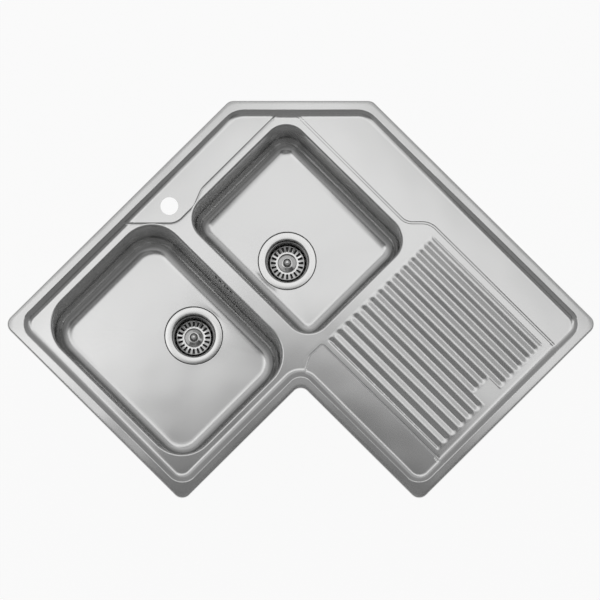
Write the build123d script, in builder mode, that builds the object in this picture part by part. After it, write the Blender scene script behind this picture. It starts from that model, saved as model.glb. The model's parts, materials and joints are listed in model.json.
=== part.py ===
from build123d import *
import os
from math import asin, atan2, cos, degrees, hypot, pi, radians, sin, sqrt

# Corner kitchen sink: a pressed stainless top with a drainer, two welded bowls and their wastes.
# Frame: Z = 0 is the worktop that the rim rests on. The origin is the middle of the square that
# the outline fits in. X and Y run along the two walls, and the room's corner is at -X, +Y.

# ---------------------------------------------------------------- driving dimensions (mm)
# Outline of the top, seen from above: its sides follow from the bowls and these margins
side_margin = 50.0
front_margin = 48.0
bowl_gap = 36.5
back_margin = 142.7
corner_cut = 200.0
outline_r = 20.0
outline_inner_r = 18.0
smallest_r = 1.0

# Pressed sheet: levels above the worktop, the flat rim and the slope down from it
sheet = 1.0
rim_top = 7.0
rim_edge_r = 4.0
lip_gap = 0.5
rim_flat = 18.0
slope_run = 12.0
deck_top = 0.0
slope_corner_r = 21.0
slope_inner_r = 39.0
slope_cut_r = 38.0

# Raised ledges
ledge_rise = 1.2
ledge_step = 3.0
ledge_blend_r = 35.0
tap_ledge_width = 85.5
back_ledge_width = 128.0
drainer_ledge_width = 94.0
ledge_turn_set_back = 30.0
front_ledge_width = 87.5
front_ledge_overlap = 27.5
front_ledge_r = 7.0

# Tap hole and the bulge of the ledge round it
tap_inset = 65.0
tap_set_back = 33.0
tap_hole_r = 17.5
tap_ledge_r = 34.5

# Ribbed drainer
drainer_bowl_gap = 22.0
drainer_end_margin = 44.0
drainer_front_margin = 100.0
drainer_back_margin = 106.0
drainer_depth = 2.0
drainer_corner_r = 4.0
rib_count = 13
rib_width = 15.0
rib_offset = 3.0
rib_end_overlap = 2.0
bare_pad_length = 30.0
bare_pad_rib_span = 2

# Bowls: wall to wall at the deck, before the rolled edge
bowl_depth = 160.0
bowl_draft = 4.0
bowl_floor_r = 35.0
bowl_roll_r = 5.0
bowl_lip = 6.0
main_length = 400.0
main_width = 317.0
main_corner_r = 67.0
back_length = 348.0
back_width = 285.8
back_corner_r = 45.0

# Drains: how far they stand from the middle of the bowls, and the strainer's flange, cup and outlet
main_drain_right = 16.0
main_drain_back = 57.0
back_drain_right = 15.5
back_drain_front = 43.9
drain_hole_r = 45.0
flange_r = 57.0
flange_seat_gap = 1.0
flange_seat_depth = 3.0
gasket = 1.0
cup_wall = 1.2
throat_r = 42.3
shelf_depth = 20.0
shelf_width = 2.4
cup_bend_r = 2.5
shelf_bend_r = 0.6
outlet_hole_r = 19.0
outlet_thread_r = 23.9
outlet_wall = 2.0
outlet_length = 21.0
thread_clearance = 0.1
washer_thickness = 3.0
fibre_thickness = 1.0
lock_nut_height = 12.0
lock_nut_r = 52.0
lug_count = 8
lug_width = 9.0
lug_reach = 4.0
washer_r = 56.0
washer_clearance = 0.5

# Basket, its stem and its plug
basket_sheet = 0.8
basket_gap = 0.8
basket_rim = 2.8
basket_bend_r = 1.5
basket_depth = 15.0
basket_floor_r = 21.0
basket_knee_r = 34.0
basket_knee_rise = 4.0
slot_count = 20
slot_width = 3.6
slot_margin = 1.0
hub_clearance = 0.4
stem_r = 3.6
knob_r = 8.0
knob_height = 9.0
stem_rise = 8.0
plug_travel = 6.0
plug_r = 22.0
plug_lip = 2.5
plug_boss = 3.0
plug_boss_gap = 0.6
plug_gap = 0.3
plug_screw_r = 2.0
plug_screw_depth = 6.0
plug_screw_head_r = 6.0
plug_screw_head = 1.6

# Waste pipework
pipe_r = 20.0
pipe_bore_r = 18.0
tail_flange = 3.0
tail_washer = 2.0
nut_wall = 4.5
nut_lip = 3.0
nut_height = 22.0
nut_rib_count = 12
nut_rib_width = 3.0
nut_rib_height = 1.5
link_drop = 72.0
tee_end_drop = 120.0
thread_length = 20.0
elbow_bend_r = 40.0
elbow_leg = 35.0
tee_branch = 60.0
socket_length = 24.0
socket_r = 23.9
socket_bore_r = 20.3
link_insert = 20.0
link_washer = 4.0
link_nut_cover = 15.0

# Overflow
overflow_drop = 19.0
overflow_slot_width = 6.0
overflow_slot_height = 16.0
overflow_pitch = 10.5
overflow_slots_each_side = 2
overflow_branch_drop = 23.0
box_wall = 2.0
box_length = 66.0
box_height = 26.0
box_depth = 22.0
box_gasket = 2.0
box_gasket_band = 4.0
spigot_r = 9.5
spigot_bore_r = 7.5
spigot_length = 22.0
overflow_screw_r = 2.5
overflow_screw_head_r = 4.5
overflow_screw_head = 2.2
overflow_boss_r = 5.0
hose_clearance = 0.2
hose_wall = 2.0
hose_grip = 18.0
hose_bend_r = 55.0
branch_reach = 46.0
hose_band = 1.0
hose_band_width = 8.0
hose_band_set_back = 5.0
hose_block = 7.0

# Rim seal, damping pads and worktop clips
seal_inset = 4.0
seal_width = 8.0
pad_thickness = 2.5
pad_margin = 8.0
pad_drain_gap = 20.0
pad_corner_r = 10.0
clip_inset = 35.0
bracket_length = 22.0
bracket_width = 9.0
bracket_thickness = 2.0
boss_r = 4.5
boss_height = 9.0
clip_screw_r = 3.0
clip_screw_head_r = 6.0
clip_screw_head = 4.0
clip_screw_length = 50.0
clip_hub_r = 6.5
clip_hub_height = 6.0
clip_arm = 32.0
clip_arm_width = 9.0
clip_arm_thickness = 3.0
clip_tip_height = 9.0
pivot_clearance = 0.1
clip_main_set_back = 40.0
clip_back_set_back = 20.0
clip_drainer_set_out = 50.0
clip_bowl_set_out = 55.0

# ---------------------------------------------------------------- values that follow
side = front_margin + main_width + bowl_gap + back_width + back_margin
wing = 2 * side_margin + main_length
half = side / 2
wing_edge = wing - half
deep = 2 * side
bowl_floor = deck_top - bowl_depth
bowl_right = -half + side_margin + main_length
main_x = bowl_right - main_length / 2
main_y = -half + front_margin + main_width / 2
main_back_y = main_y + main_width / 2
back_x = bowl_right - back_length / 2
back_y = main_back_y + bowl_gap + back_width / 2
main_drain_x = main_x + main_drain_right
main_drain_y = main_y + main_drain_back
back_drain_x = back_x + back_drain_right
back_drain_y = back_y - back_drain_front
drains = {
    "main": (main_drain_x, main_drain_y),
    "back": (back_drain_x, back_drain_y),
}
tap_x = -half + tap_inset
tap_y = main_back_y + tap_set_back
ledge_top = deck_top + ledge_rise
tap_ledge_x = -half + tap_ledge_width
back_ledge_y = half - back_ledge_width
drainer_back_y = half - drainer_ledge_width
back_ledge_turn_x = bowl_right - ledge_turn_set_back
front_ledge_x = wing_edge - front_ledge_overlap
front_ledge_y = -wing_edge + front_ledge_width

os.makedirs("parts", exist_ok=True)


def save(piece, name):
    """Label a finished piece and write it under its own name."""
    piece.label = name
    export_step(piece, f"parts/{name}.step")


# ---------------------------------------------------------------- shapes used more than once
def plan(inset, corner_r, inner_r, cut_r):
    """The L-shaped plan with its back corner cut off, drawn a distance inside the outline."""
    near = -half + inset
    far = half - inset
    inner = wing_edge - inset
    cut = side - corner_cut - inset * sqrt(2)
    corners = [
        ((near, near + cut), cut_r),
        ((far - cut, far), cut_r),
        ((far, far), corner_r),
        ((far, -inner), corner_r),
        ((inner, -inner), inner_r),
        ((inner, near), corner_r),
        ((near, near), corner_r),
    ]
    points = [point for point, radius in corners]
    radii = [radius for point, radius in corners]
    with BuildSketch() as face:
        with BuildLine():
            FilletPolyline(*points, radius=radii, close=True)
        make_face()
    return face.sketch


def outline(inset):
    """The outer edge of the top, or a line that follows it a sheet or a seal further in."""
    return plan(inset, max(outline_r - inset, smallest_r), outline_inner_r + inset, outline_r)


def section(x, y, turn=0.0, level=0.0):
    """An upright plane through x, y: its own X runs outwards at the turn, its own Y is up."""
    angle = radians(turn)
    return Plane(
        (x, y, level), x_dir=(cos(angle), sin(angle), 0), z_dir=(sin(angle), -cos(angle), 0)
    )


def turned(x, y, *points):
    """A piece turned about the upright axis at x, y, from radius and height points."""
    with BuildPart() as piece:
        with BuildSketch(section(x, y)):
            with BuildLine():
                Polyline(*points, close=True)
            make_face()
        revolve(axis=Axis((x, y, 0), (0, 0, 1)))
    return piece.part


def ring(x, y, outer_r, inner_r, low, high):
    """A plain flat ring or sleeve about the upright axis at x, y."""
    return turned(x, y, (inner_r, low), (outer_r, low), (outer_r, high), (inner_r, high))


def bowl_form(x, y, length, width, corner_r, grow):
    """The tapered form of a bowl: with grow at 0 its inside, with the sheet its outside."""
    floor_level = bowl_floor - grow
    with BuildPart() as solid:
        with BuildSketch(Plane.XY.offset(floor_level)):
            with Locations((x, y)):
                RectangleRounded(
                    length + 2 * (grow - bowl_draft),
                    width + 2 * (grow - bowl_draft),
                    corner_r + grow - bowl_draft,
                )
        with BuildSketch(Plane.XY.offset(deck_top)):
            with Locations((x, y)):
                RectangleRounded(length + 2 * grow, width + 2 * grow, corner_r + grow)
        loft(ruled=True)
        fillet(solid.faces().sort_by(Axis.Z)[0].edges(), bowl_floor_r + grow)
    return solid.part


# ---------------------------------------------------------------- the pressed top
with BuildPart() as slope_pocket:
    with BuildSketch(Plane.XY.offset(deck_top)):
        add(plan(rim_flat + slope_run, slope_corner_r, slope_inner_r, slope_cut_r))
    with BuildSketch(Plane.XY.offset(rim_top)):
        add(
            plan(
                rim_flat,
                slope_corner_r + slope_run,
                slope_inner_r - slope_run,
                slope_cut_r + slope_run,
            )
        )
    loft(ruled=True)

# Each ledge runs on under the rim. Its outline is the foot of its step.
rim_middle = plan(
    rim_flat / 2,
    slope_corner_r + slope_run,
    slope_inner_r - slope_run,
    slope_cut_r + slope_run,
)
ledge_reach = half
# The bulge round the tap hole runs back to the rim along a line at 45 degrees, y = x + tap_tangent.
tap_tangent = tap_y - tap_x - tap_ledge_r * sqrt(2)
tap_ledge_points = [
    (tap_ledge_x, ledge_reach),
    (tap_ledge_x, tap_y + 2 * tap_ledge_r),
    (tap_x + tap_ledge_r, tap_y + tap_ledge_r),
    (tap_x + tap_ledge_r, tap_x + tap_ledge_r + tap_tangent),
    (-ledge_reach, -ledge_reach + tap_tangent),
    (-ledge_reach, ledge_reach),
]
tap_ledge_radii = [0, tap_ledge_r, tap_ledge_r, tap_ledge_r, 0, 0]
back_ledge_points = [
    (-ledge_reach, back_ledge_y),
    (back_ledge_turn_x, back_ledge_y),
    (back_ledge_turn_x + drainer_back_y - back_ledge_y, drainer_back_y),
    (ledge_reach, drainer_back_y),
    (ledge_reach, ledge_reach),
    (-ledge_reach, ledge_reach),
]
back_ledge_radii = [0, ledge_blend_r, ledge_blend_r, 0, 0, 0]
front_turn_y = front_ledge_y - ledge_blend_r
front_ledge_points = [
    (front_ledge_x, front_ledge_y),
    (front_ledge_x, front_turn_y),
    (wing_edge, -wing_edge),
    (ledge_reach, -wing_edge),
    (ledge_reach, front_ledge_y),
]
front_ledge_radii = [front_ledge_r, ledge_blend_r / 2, 0, 0, 0]
ledges = []
for points, radii in (
    (tap_ledge_points, tap_ledge_radii),
    (back_ledge_points, back_ledge_radii),
    (front_ledge_points, front_ledge_radii),
):
    with BuildPart() as ledge:
        with BuildSketch(Plane.XY.offset(deck_top - ledge_rise)):
            with BuildLine():
                FilletPolyline(*points, radius=radii, close=True)
            make_face()
            add(rim_middle, mode=Mode.INTERSECT)
        extrude(amount=2 * ledge_rise)
        top_face = ledge.faces().sort_by(Axis.Z)[-1]
        chamfer(top_face.edges(), ledge_step, ledge_rise, reference=top_face)
    ledges.append(ledge.part)

drainer_left = bowl_right + drainer_bowl_gap
drainer_right = half - drainer_end_margin
drainer_front = -wing_edge + drainer_front_margin
drainer_back = half - drainer_back_margin
drainer_length = drainer_right - drainer_left
drainer_width = drainer_back - drainer_front
drainer_x = (drainer_left + drainer_right) / 2
drainer_y = (drainer_front + drainer_back) / 2
drainer_floor = deck_top - drainer_depth
with BuildPart() as drainer_pan:
    with BuildSketch(Plane.XY.offset(drainer_floor)):
        with Locations((drainer_x, drainer_y)):
            RectangleRounded(
                drainer_length - 2 * drainer_depth,
                drainer_width - 2 * drainer_depth,
                drainer_corner_r - drainer_depth,
            )
    with BuildSketch(Plane.XY.offset(deck_top)):
        with Locations((drainer_x, drainer_y)):
            RectangleRounded(drainer_length, drainer_width, drainer_corner_r)
    loft(ruled=True)

rib_pitch = drainer_width / rib_count
rib_middle_y = drainer_y + rib_offset
rib_half = rib_width / 2
rib_root = drainer_floor - drainer_depth
rib_left = drainer_left + drainer_depth - rib_end_overlap
rib_right = drainer_right - drainer_depth + rib_end_overlap
rib_slope = 2 * drainer_depth
with BuildSketch() as rib_profile:
    with BuildLine():
        ThreePointArc((-rib_half, drainer_floor), (0, deck_top), (rib_half, drainer_floor))
        Polyline(
            (rib_half, drainer_floor),
            (rib_half, rib_root),
            (-rib_half, rib_root),
            (-rib_half, drainer_floor),
        )
    make_face()
with BuildPart() as ribs:
    with BuildSketch(section(rib_left, rib_middle_y, 90)):
        with GridLocations(rib_pitch, 0, rib_count, 1):
            add(rib_profile.sketch)
    extrude(amount=rib_right - rib_left)
    with BuildSketch(Plane.XZ.offset(-drainer_back)):
        with BuildLine():
            Polyline(
                (rib_left, drainer_floor),
                (rib_left + rib_slope, deck_top + drainer_depth),
                (rib_right - rib_slope, deck_top + drainer_depth),
                (rib_right, drainer_floor),
                (rib_right, rib_root),
                (rib_left, rib_root),
                close=True,
            )
        make_face()
    extrude(amount=drainer_width, mode=Mode.INTERSECT)

bare_pad_left = drainer_right - bare_pad_length
pad_half = bare_pad_rib_span * rib_pitch / 2
with BuildPart() as bare_pad:
    with BuildSketch(Plane.XZ.offset(-(rib_middle_y + pad_half))):
        with BuildLine():
            Polyline(
                (bare_pad_left, drainer_floor),
                (bare_pad_left + drainer_depth, deck_top),
                (drainer_right, deck_top),
                (drainer_right, rib_root),
                (bare_pad_left, rib_root),
                close=True,
            )
        make_face()
    extrude(amount=2 * pad_half)


def under_face(drop):
    """Everything below the top's upper face, or with the sheet as drop, below its lower face."""
    with BuildPart() as body:
        with BuildSketch(Plane.XY.offset(rim_top - drop)):
            add(outline(drop))
        extrude(amount=-3 * rim_top)
        rim_face = body.faces().sort_by(Axis.Z)[-1]
        fillet(rim_face.edges(), rim_edge_r - drop)
        with Locations((0, 0, -drop)):
            add(slope_pocket.part, mode=Mode.SUBTRACT)
            add(ledges)
            add(drainer_pan.part, mode=Mode.SUBTRACT)
            add(ribs.part)
            add(bare_pad.part)
    return body.part


upper_side = under_face(0)
lower_side = under_face(sheet)
with BuildPart() as sink_top:
    add(upper_side)
    add(lower_side, mode=Mode.SUBTRACT)
    # The turned-down lip ends just above the worktop.
    with BuildSketch(Plane.XY.offset(lip_gap)):
        add(outline(-sheet))
        add(rim_middle, mode=Mode.SUBTRACT)
    extrude(amount=-deep, mode=Mode.SUBTRACT)
    with BuildSketch(Plane.XY.offset(rim_top)):
        with Locations((main_x, main_y)):
            RectangleRounded(
                main_length + 2 * bowl_lip, main_width + 2 * bowl_lip, main_corner_r + bowl_lip
            )
        with Locations((back_x, back_y)):
            RectangleRounded(
                back_length + 2 * bowl_lip, back_width + 2 * bowl_lip, back_corner_r + bowl_lip
            )
        with Locations((tap_x, tap_y)):
            Circle(tap_hole_r)
    extrude(amount=-deep, mode=Mode.SUBTRACT)
save(sink_top.part, "sink_top")


# ---------------------------------------------------------------- bowls
seat_level = bowl_floor - flange_seat_depth
under_seat = seat_level - sheet
seat_r = flange_r + flange_seat_gap


def bowl(x, y, length, width, corner_r, drain):
    """A pressed bowl with a welding lip, a rolled edge and a round seat for its drain."""
    with BuildPart() as shell:
        with BuildSketch(Plane.XY.offset(deck_top)):
            with Locations((x, y)):
                RectangleRounded(
                    length + 2 * bowl_lip, width + 2 * bowl_lip, corner_r + bowl_lip
                )
        extrude(amount=-sheet)
        add(bowl_form(x, y, length, width, corner_r, sheet))
        lip_underside = shell.faces().filter_by(Axis.Z).sort_by(Axis.Z)[-2]
        fillet(lip_underside.inner_wires().edges(), bowl_roll_r - sheet)
        with BuildSketch(Plane.XY.offset(bowl_floor)):
            with Locations(drain):
                Circle(seat_r + sheet)
        extrude(amount=-flange_seat_depth - sheet)
        add(bowl_form(x, y, length, width, corner_r, 0), mode=Mode.SUBTRACT)
        with BuildSketch(Plane.XY.offset(bowl_floor)):
            with Locations(drain):
                Circle(seat_r)
        extrude(amount=-flange_seat_depth, mode=Mode.SUBTRACT)
        with BuildSketch(Plane.XY.offset(seat_level)):
            with Locations(drain):
                Circle(drain_hole_r)
        extrude(amount=-sheet, mode=Mode.SUBTRACT)
        lip_top = shell.faces().filter_by(Axis.Z).sort_by(Axis.Z)[-1]
        fillet(lip_top.inner_wires().edges(), bowl_roll_r)
    return shell.part


overflow_x = main_x
overflow_z = deck_top - overflow_drop
overflow_wall_y = main_back_y - bowl_draft * overflow_drop / bowl_depth
slot_places = [
    (overflow_x + way * step * overflow_pitch, overflow_z)
    for way in (-1, 1)
    for step in range(1, overflow_slots_each_side + 1)
]
with BuildPart() as main_bowl:
    add(bowl(main_x, main_y, main_length, main_width, main_corner_r, drains["main"]))
    with BuildSketch(Plane.XZ.offset(-(overflow_wall_y - bowl_draft))):
        with Locations(*slot_places):
            SlotOverall(overflow_slot_height, overflow_slot_width, rotation=90)
        with Locations((overflow_x, overflow_z)):
            Circle(overflow_screw_r + thread_clearance)
    extrude(amount=-2 * bowl_draft, mode=Mode.SUBTRACT)
save(main_bowl.part, "main_bowl")
back_bowl = bowl(back_x, back_y, back_length, back_width, back_corner_r, drains["back"])
save(back_bowl, "back_bowl")

# ---------------------------------------------------------------- strainers, baskets and plugs
flange_level = seat_level + gasket
flange_top = flange_level + cup_wall
shelf_level = flange_top - shelf_depth
basket_underside = shelf_level - basket_depth
plug_top = basket_underside - plug_gap - plug_travel
cup_floor = plug_top - plug_lip - plug_gap
cup_underside = cup_floor - cup_wall
outlet_end = cup_underside - outlet_length
throat_outer_r = throat_r + cup_wall
lower_cup_r = throat_r - shelf_width
nut_top = under_seat - washer_thickness - fibre_thickness


def strainer(x, y):
    """The steel flange and cup that line the drain hole, with a threaded outlet below."""
    with BuildPart() as cup:
        with BuildSketch(section(x, y)):
            with BuildLine():
                FilletPolyline(
                    (flange_r, flange_top),
                    (throat_r, flange_top),
                    (throat_r, shelf_level),
                    (lower_cup_r, shelf_level),
                    (lower_cup_r, cup_floor),
                    (outlet_hole_r, cup_floor),
                    radius=[cup_bend_r, shelf_bend_r, cup_bend_r / 2, cup_bend_r],
                )
                offset(amount=cup_wall, side=Side.LEFT)
            make_face()
            with BuildLine():
                Polyline(
                    (outlet_thread_r, cup_underside),
                    (outlet_thread_r, outlet_end),
                    (outlet_thread_r - outlet_wall, outlet_end),
                    (outlet_thread_r - outlet_wall, cup_underside),
                    close=True,
                )
            make_face()
        revolve(axis=Axis((x, y, 0), (0, 0, 1)))
    return cup.part


def lock_nut(x, y):
    """The large ring nut that draws the strainer down on the bowl, with lugs to turn it by."""
    bore_r = throat_outer_r + thread_clearance
    with BuildPart() as nut:
        add(ring(x, y, lock_nut_r, bore_r, nut_top - lock_nut_height, nut_top))
        with BuildSketch(Plane.XY.offset(nut_top - lock_nut_height)):
            with Locations((x, y)):
                with PolarLocations(lock_nut_r, lug_count):
                    Rectangle(2 * lug_reach, lug_width)
        extrude(amount=lock_nut_height / 2)
    return nut.part


def basket(x, y):
    """The lift-out basket: a rim on the cup's shelf, a steep wall, a slotted cone and a flat floor."""
    rim_r = throat_r - basket_gap
    cone_r = rim_r - basket_rim
    top = shelf_level + basket_sheet
    floor_top = basket_underside + basket_sheet
    slot_length = basket_knee_r - basket_floor_r - 2 * slot_margin
    with BuildPart() as strainer_basket:
        with BuildSketch(section(x, y)):
            with BuildLine():
                FilletPolyline(
                    (rim_r, top),
                    (cone_r, top),
                    (basket_knee_r, floor_top + basket_knee_rise),
                    (basket_floor_r, floor_top),
                    (stem_r + hub_clearance, floor_top),
                    radius=basket_bend_r,
                )
                offset(amount=basket_sheet, side=Side.LEFT)
            make_face()
        revolve(axis=Axis((x, y, 0), (0, 0, 1)))
        with BuildSketch(Plane.XY.offset(top)):
            with Locations((x, y)):
                with PolarLocations((basket_knee_r + basket_floor_r) / 2, slot_count):
                    Rectangle(slot_length, slot_width)
        extrude(amount=-2 * basket_depth, mode=Mode.SUBTRACT)
    return strainer_basket.part


def knob(x, y):
    """The stem with its round knob, drilled from below for the screw that holds the plug."""
    knob_level = basket_underside + basket_sheet + stem_rise
    knob_top = knob_level + knob_height
    dome_height = knob_height / 2
    shoulder = knob_top - dome_height
    dome_r = (knob_r**2 + dome_height**2) / (2 * dome_height)
    half_turn = asin(knob_r / dome_r) / 2
    dome_middle = (dome_r * sin(half_turn), knob_top - dome_r * (1 - cos(half_turn)))
    with BuildPart() as stem:
        with BuildSketch(section(x, y)):
            with BuildLine():
                Polyline(
                    (0, knob_top),
                    (0, plug_top),
                    (stem_r, plug_top),
                    (stem_r, knob_level),
                    (knob_r - cup_wall, knob_level),
                    (knob_r, shoulder),
                )
                ThreePointArc((knob_r, shoulder), dome_middle, (0, knob_top))
            make_face()
        revolve(axis=Axis((x, y, 0), (0, 0, 1)))
        with BuildSketch(Plane.XY.offset(plug_top)):
            with Locations((x, y)):
                Circle(plug_screw_r + thread_clearance)
        extrude(amount=plug_screw_depth, mode=Mode.SUBTRACT)
    return stem.part


plug_hole_r = plug_screw_r + thread_clearance
plug_boss_r = outlet_hole_r - plug_boss_gap
plug_middle = plug_top - plug_lip
plug_bottom = plug_middle - plug_boss
screw_end = plug_top + plug_screw_depth - plug_gap
for name, (x, y) in drains.items():
    save(strainer(x, y), f"{name}_strainer")
    save(
        ring(x, y, flange_r - gasket, drain_hole_r + gasket, seat_level, flange_level),
        f"{name}_flange_gasket",
    )
    washer_hole_r = throat_outer_r + washer_clearance
    fibre_top = under_seat - washer_thickness
    save(ring(x, y, washer_r, washer_hole_r, fibre_top, under_seat), f"{name}_bowl_washer")
    save(ring(x, y, washer_r, washer_hole_r, nut_top, fibre_top), f"{name}_fibre_washer")
    save(lock_nut(x, y), f"{name}_lock_nut")
    save(basket(x, y), f"{name}_basket")
    save(knob(x, y), f"{name}_knob")
    save(
        turned(
            x,
            y,
            (plug_hole_r, plug_top),
            (plug_hole_r, plug_bottom),
            (plug_boss_r - plug_boss / 2, plug_bottom),
            (plug_boss_r, plug_middle),
            (plug_r, plug_middle),
            (plug_r, plug_top),
        ),
        f"{name}_plug",
    )
    save(
        turned(
            x,
            y,
            (0, screw_end),
            (0, plug_bottom - plug_screw_head),
            (plug_screw_head_r, plug_bottom - plug_screw_head),
            (plug_screw_head_r, plug_bottom),
            (plug_screw_r, plug_bottom),
            (plug_screw_r, screw_end),
        ),
        f"{name}_plug_screw",
    )

# ---------------------------------------------------------------- waste pipework
tail_top = outlet_end - tail_washer
tail_flange_r = outlet_thread_r - washer_clearance
tail_neck = tail_top - tail_flange
link_level = tail_top - link_drop
tee_end = tail_top - tee_end_drop
nut_bore_r = outlet_thread_r + thread_clearance
nut_r = nut_bore_r + nut_wall
nut_lip_r = pipe_r + washer_clearance
main_to_back = (back_drain_x - main_drain_x, back_drain_y - main_drain_y)
link_turn = degrees(atan2(main_to_back[1], main_to_back[0]))
drain_distance = hypot(*main_to_back)


def across(x, y, level, turn, reach=0.0):
    """A plane square to a level pipe that leaves the axis at x, y, at a reach along it."""
    way = (cos(radians(turn)), sin(radians(turn)), 0)
    return Plane(
        (x + reach * way[0], y + reach * way[1], level), x_dir=(0, 0, 1), z_dir=way
    )


def union_nut(base, cover):
    """A ribbed union nut on its base plane, at the lip's outer face, with its thread above."""
    with BuildPart() as nut:
        with BuildSketch(base):
            Circle(nut_r)
            with PolarLocations(nut_r, nut_rib_count):
                Rectangle(2 * nut_rib_height, nut_rib_width)
            Circle(nut_lip_r, mode=Mode.SUBTRACT)
        extrude(amount=nut_lip + cover)
        with BuildSketch(base.offset(nut_lip)):
            Circle(nut_bore_r)
        extrude(amount=cover, mode=Mode.SUBTRACT)
    return nut.part


for name, (x, y) in drains.items():
    save(ring(x, y, tail_flange_r, pipe_r, tail_top, outlet_end), f"{name}_tail_washer")
    nut_base = Plane((x, y, tail_neck - nut_lip))
    save(union_nut(nut_base, nut_height - nut_lip), f"{name}_coupling_nut")

overflow_y = main_back_y + sheet + box_gasket + box_depth / 2
hose_offset = (overflow_x - main_drain_x, overflow_y - main_drain_y)
hose_turn = degrees(atan2(hose_offset[1], hose_offset[0]))
hose_distance = hypot(*hose_offset)
hose_level = tail_top - tail_flange - overflow_branch_drop
socket_start = tee_branch - socket_length
with BuildPart() as waste_tee:
    x, y = drains["main"]
    add(ring(x, y, tail_flange_r, pipe_bore_r, tail_neck, tail_top))
    add(ring(x, y, pipe_r, pipe_bore_r, tee_end, tail_neck))
    add(ring(x, y, outlet_thread_r, pipe_bore_r, tee_end, tee_end + thread_length))
    with BuildSketch(across(x, y, link_level, link_turn)):
        Circle(pipe_r)
    extrude(amount=tee_branch)
    with BuildSketch(across(x, y, link_level, link_turn, socket_start)):
        Circle(socket_r)
    extrude(amount=socket_length)
    with BuildSketch(across(x, y, hose_level, hose_turn)):
        Circle(spigot_r)
    extrude(amount=branch_reach)
    with BuildSketch(Plane((x, y, tee_end))):
        Circle(pipe_bore_r)
    extrude(amount=tee_end_drop, mode=Mode.SUBTRACT)
    with BuildSketch(across(x, y, link_level, link_turn)):
        Circle(pipe_bore_r)
    extrude(amount=tee_branch, mode=Mode.SUBTRACT)
    with BuildSketch(across(x, y, link_level, link_turn, tee_branch - link_insert)):
        Circle(socket_bore_r)
    extrude(amount=link_insert, mode=Mode.SUBTRACT)
    with BuildSketch(across(x, y, hose_level, hose_turn)):
        Circle(spigot_bore_r)
    extrude(amount=branch_reach, mode=Mode.SUBTRACT)
save(waste_tee.part, "waste_tee")

elbow_end = elbow_bend_r + elbow_leg
back_turn = link_turn + 180
with BuildPart() as back_elbow:
    x, y = drains["back"]
    with BuildLine(section(x, y, back_turn)) as elbow_path:
        FilletPolyline(
            (0, tail_top), (0, link_level), (elbow_end, link_level), radius=elbow_bend_r
        )
    with BuildSketch(Plane((x, y, tail_top))):
        Circle(pipe_r)
    sweep(path=elbow_path.line)
    with BuildSketch(Plane((x, y, tail_neck))):
        Circle(tail_flange_r)
    extrude(amount=tail_flange)
    with BuildSketch(across(x, y, link_level, back_turn, elbow_end - socket_length)):
        Circle(socket_r)
    extrude(amount=socket_length)
    with BuildSketch(Plane((x, y, tail_top))):
        Circle(pipe_bore_r)
    sweep(path=elbow_path.line, mode=Mode.SUBTRACT)
    with BuildSketch(across(x, y, link_level, back_turn, elbow_end - link_insert)):
        Circle(socket_bore_r)
    extrude(amount=link_insert, mode=Mode.SUBTRACT)
save(back_elbow.part, "back_elbow")

link_start = tee_branch - link_insert
link_end = drain_distance - elbow_end + link_insert
x, y = drains["main"]
with BuildPart() as link_pipe:
    with BuildSketch(across(x, y, link_level, link_turn, link_start)):
        Circle(pipe_r)
        Circle(pipe_bore_r, mode=Mode.SUBTRACT)
    extrude(amount=link_end - link_start)
save(link_pipe.part, "link_pipe")

nut_set_out = link_washer + nut_lip
tee_nut_base = across(x, y, link_level, link_turn, tee_branch + nut_set_out)
elbow_nut_base = across(
    x, y, link_level, link_turn, drain_distance - elbow_end - nut_set_out
)
with BuildPart() as link_nuts:
    add(union_nut(-tee_nut_base, link_washer + link_nut_cover))
    add(union_nut(elbow_nut_base, link_washer + link_nut_cover))
save(link_nuts.part, "link_nuts")

with BuildPart() as link_washers:
    for reach in (tee_branch, drain_distance - elbow_end - link_washer):
        with BuildSketch(across(x, y, link_level, link_turn, reach)):
            Circle(tail_flange_r)
            Circle(pipe_r, mode=Mode.SUBTRACT)
        extrude(amount=link_washer)
save(link_washers.part, "link_washers")

# ---------------------------------------------------------------- overflow
box_face_y = main_back_y + sheet + box_gasket
box_bottom = overflow_z - box_height / 2
spigot_end = box_bottom - spigot_length
with BuildPart() as overflow_box:
    with BuildSketch(Plane.XZ.offset(-box_face_y)):
        with Locations((overflow_x, overflow_z)):
            RectangleRounded(box_length, box_height, 2 * box_wall)
    extrude(amount=-box_depth)
    with BuildSketch(Plane((overflow_x, overflow_y, spigot_end))):
        Circle(spigot_r)
    extrude(amount=spigot_length + box_wall)
    with BuildSketch(Plane.XZ.offset(-box_face_y)):
        with Locations((overflow_x, overflow_z)):
            RectangleRounded(box_length - 2 * box_wall, box_height - 2 * box_wall, box_wall)
    extrude(amount=-(box_depth - box_wall), mode=Mode.SUBTRACT)
    with BuildSketch(Plane((overflow_x, overflow_y, spigot_end))):
        Circle(spigot_bore_r)
    extrude(amount=spigot_length + 2 * box_wall, mode=Mode.SUBTRACT)
    with BuildSketch(Plane.XZ.offset(-box_face_y)):
        with Locations((overflow_x, overflow_z)):
            Circle(overflow_boss_r)
            Circle(overflow_screw_r + thread_clearance, mode=Mode.SUBTRACT)
    extrude(amount=-(box_depth - box_wall))
save(overflow_box.part, "overflow_box")

with BuildPart() as overflow_gasket:
    with BuildSketch(Plane.XZ.offset(-box_face_y)):
        with Locations((overflow_x, overflow_z)):
            RectangleRounded(box_length, box_height, 2 * box_wall)
            RectangleRounded(
                box_length - 2 * box_gasket_band,
                box_height - 2 * box_gasket_band,
                box_wall,
                mode=Mode.SUBTRACT,
            )
    extrude(amount=2 * box_gasket + sheet)
    add(
        bowl_form(main_x, main_y, main_length, main_width, main_corner_r, sheet),
        mode=Mode.SUBTRACT,
    )
save(overflow_gasket.part, "overflow_gasket")

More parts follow.
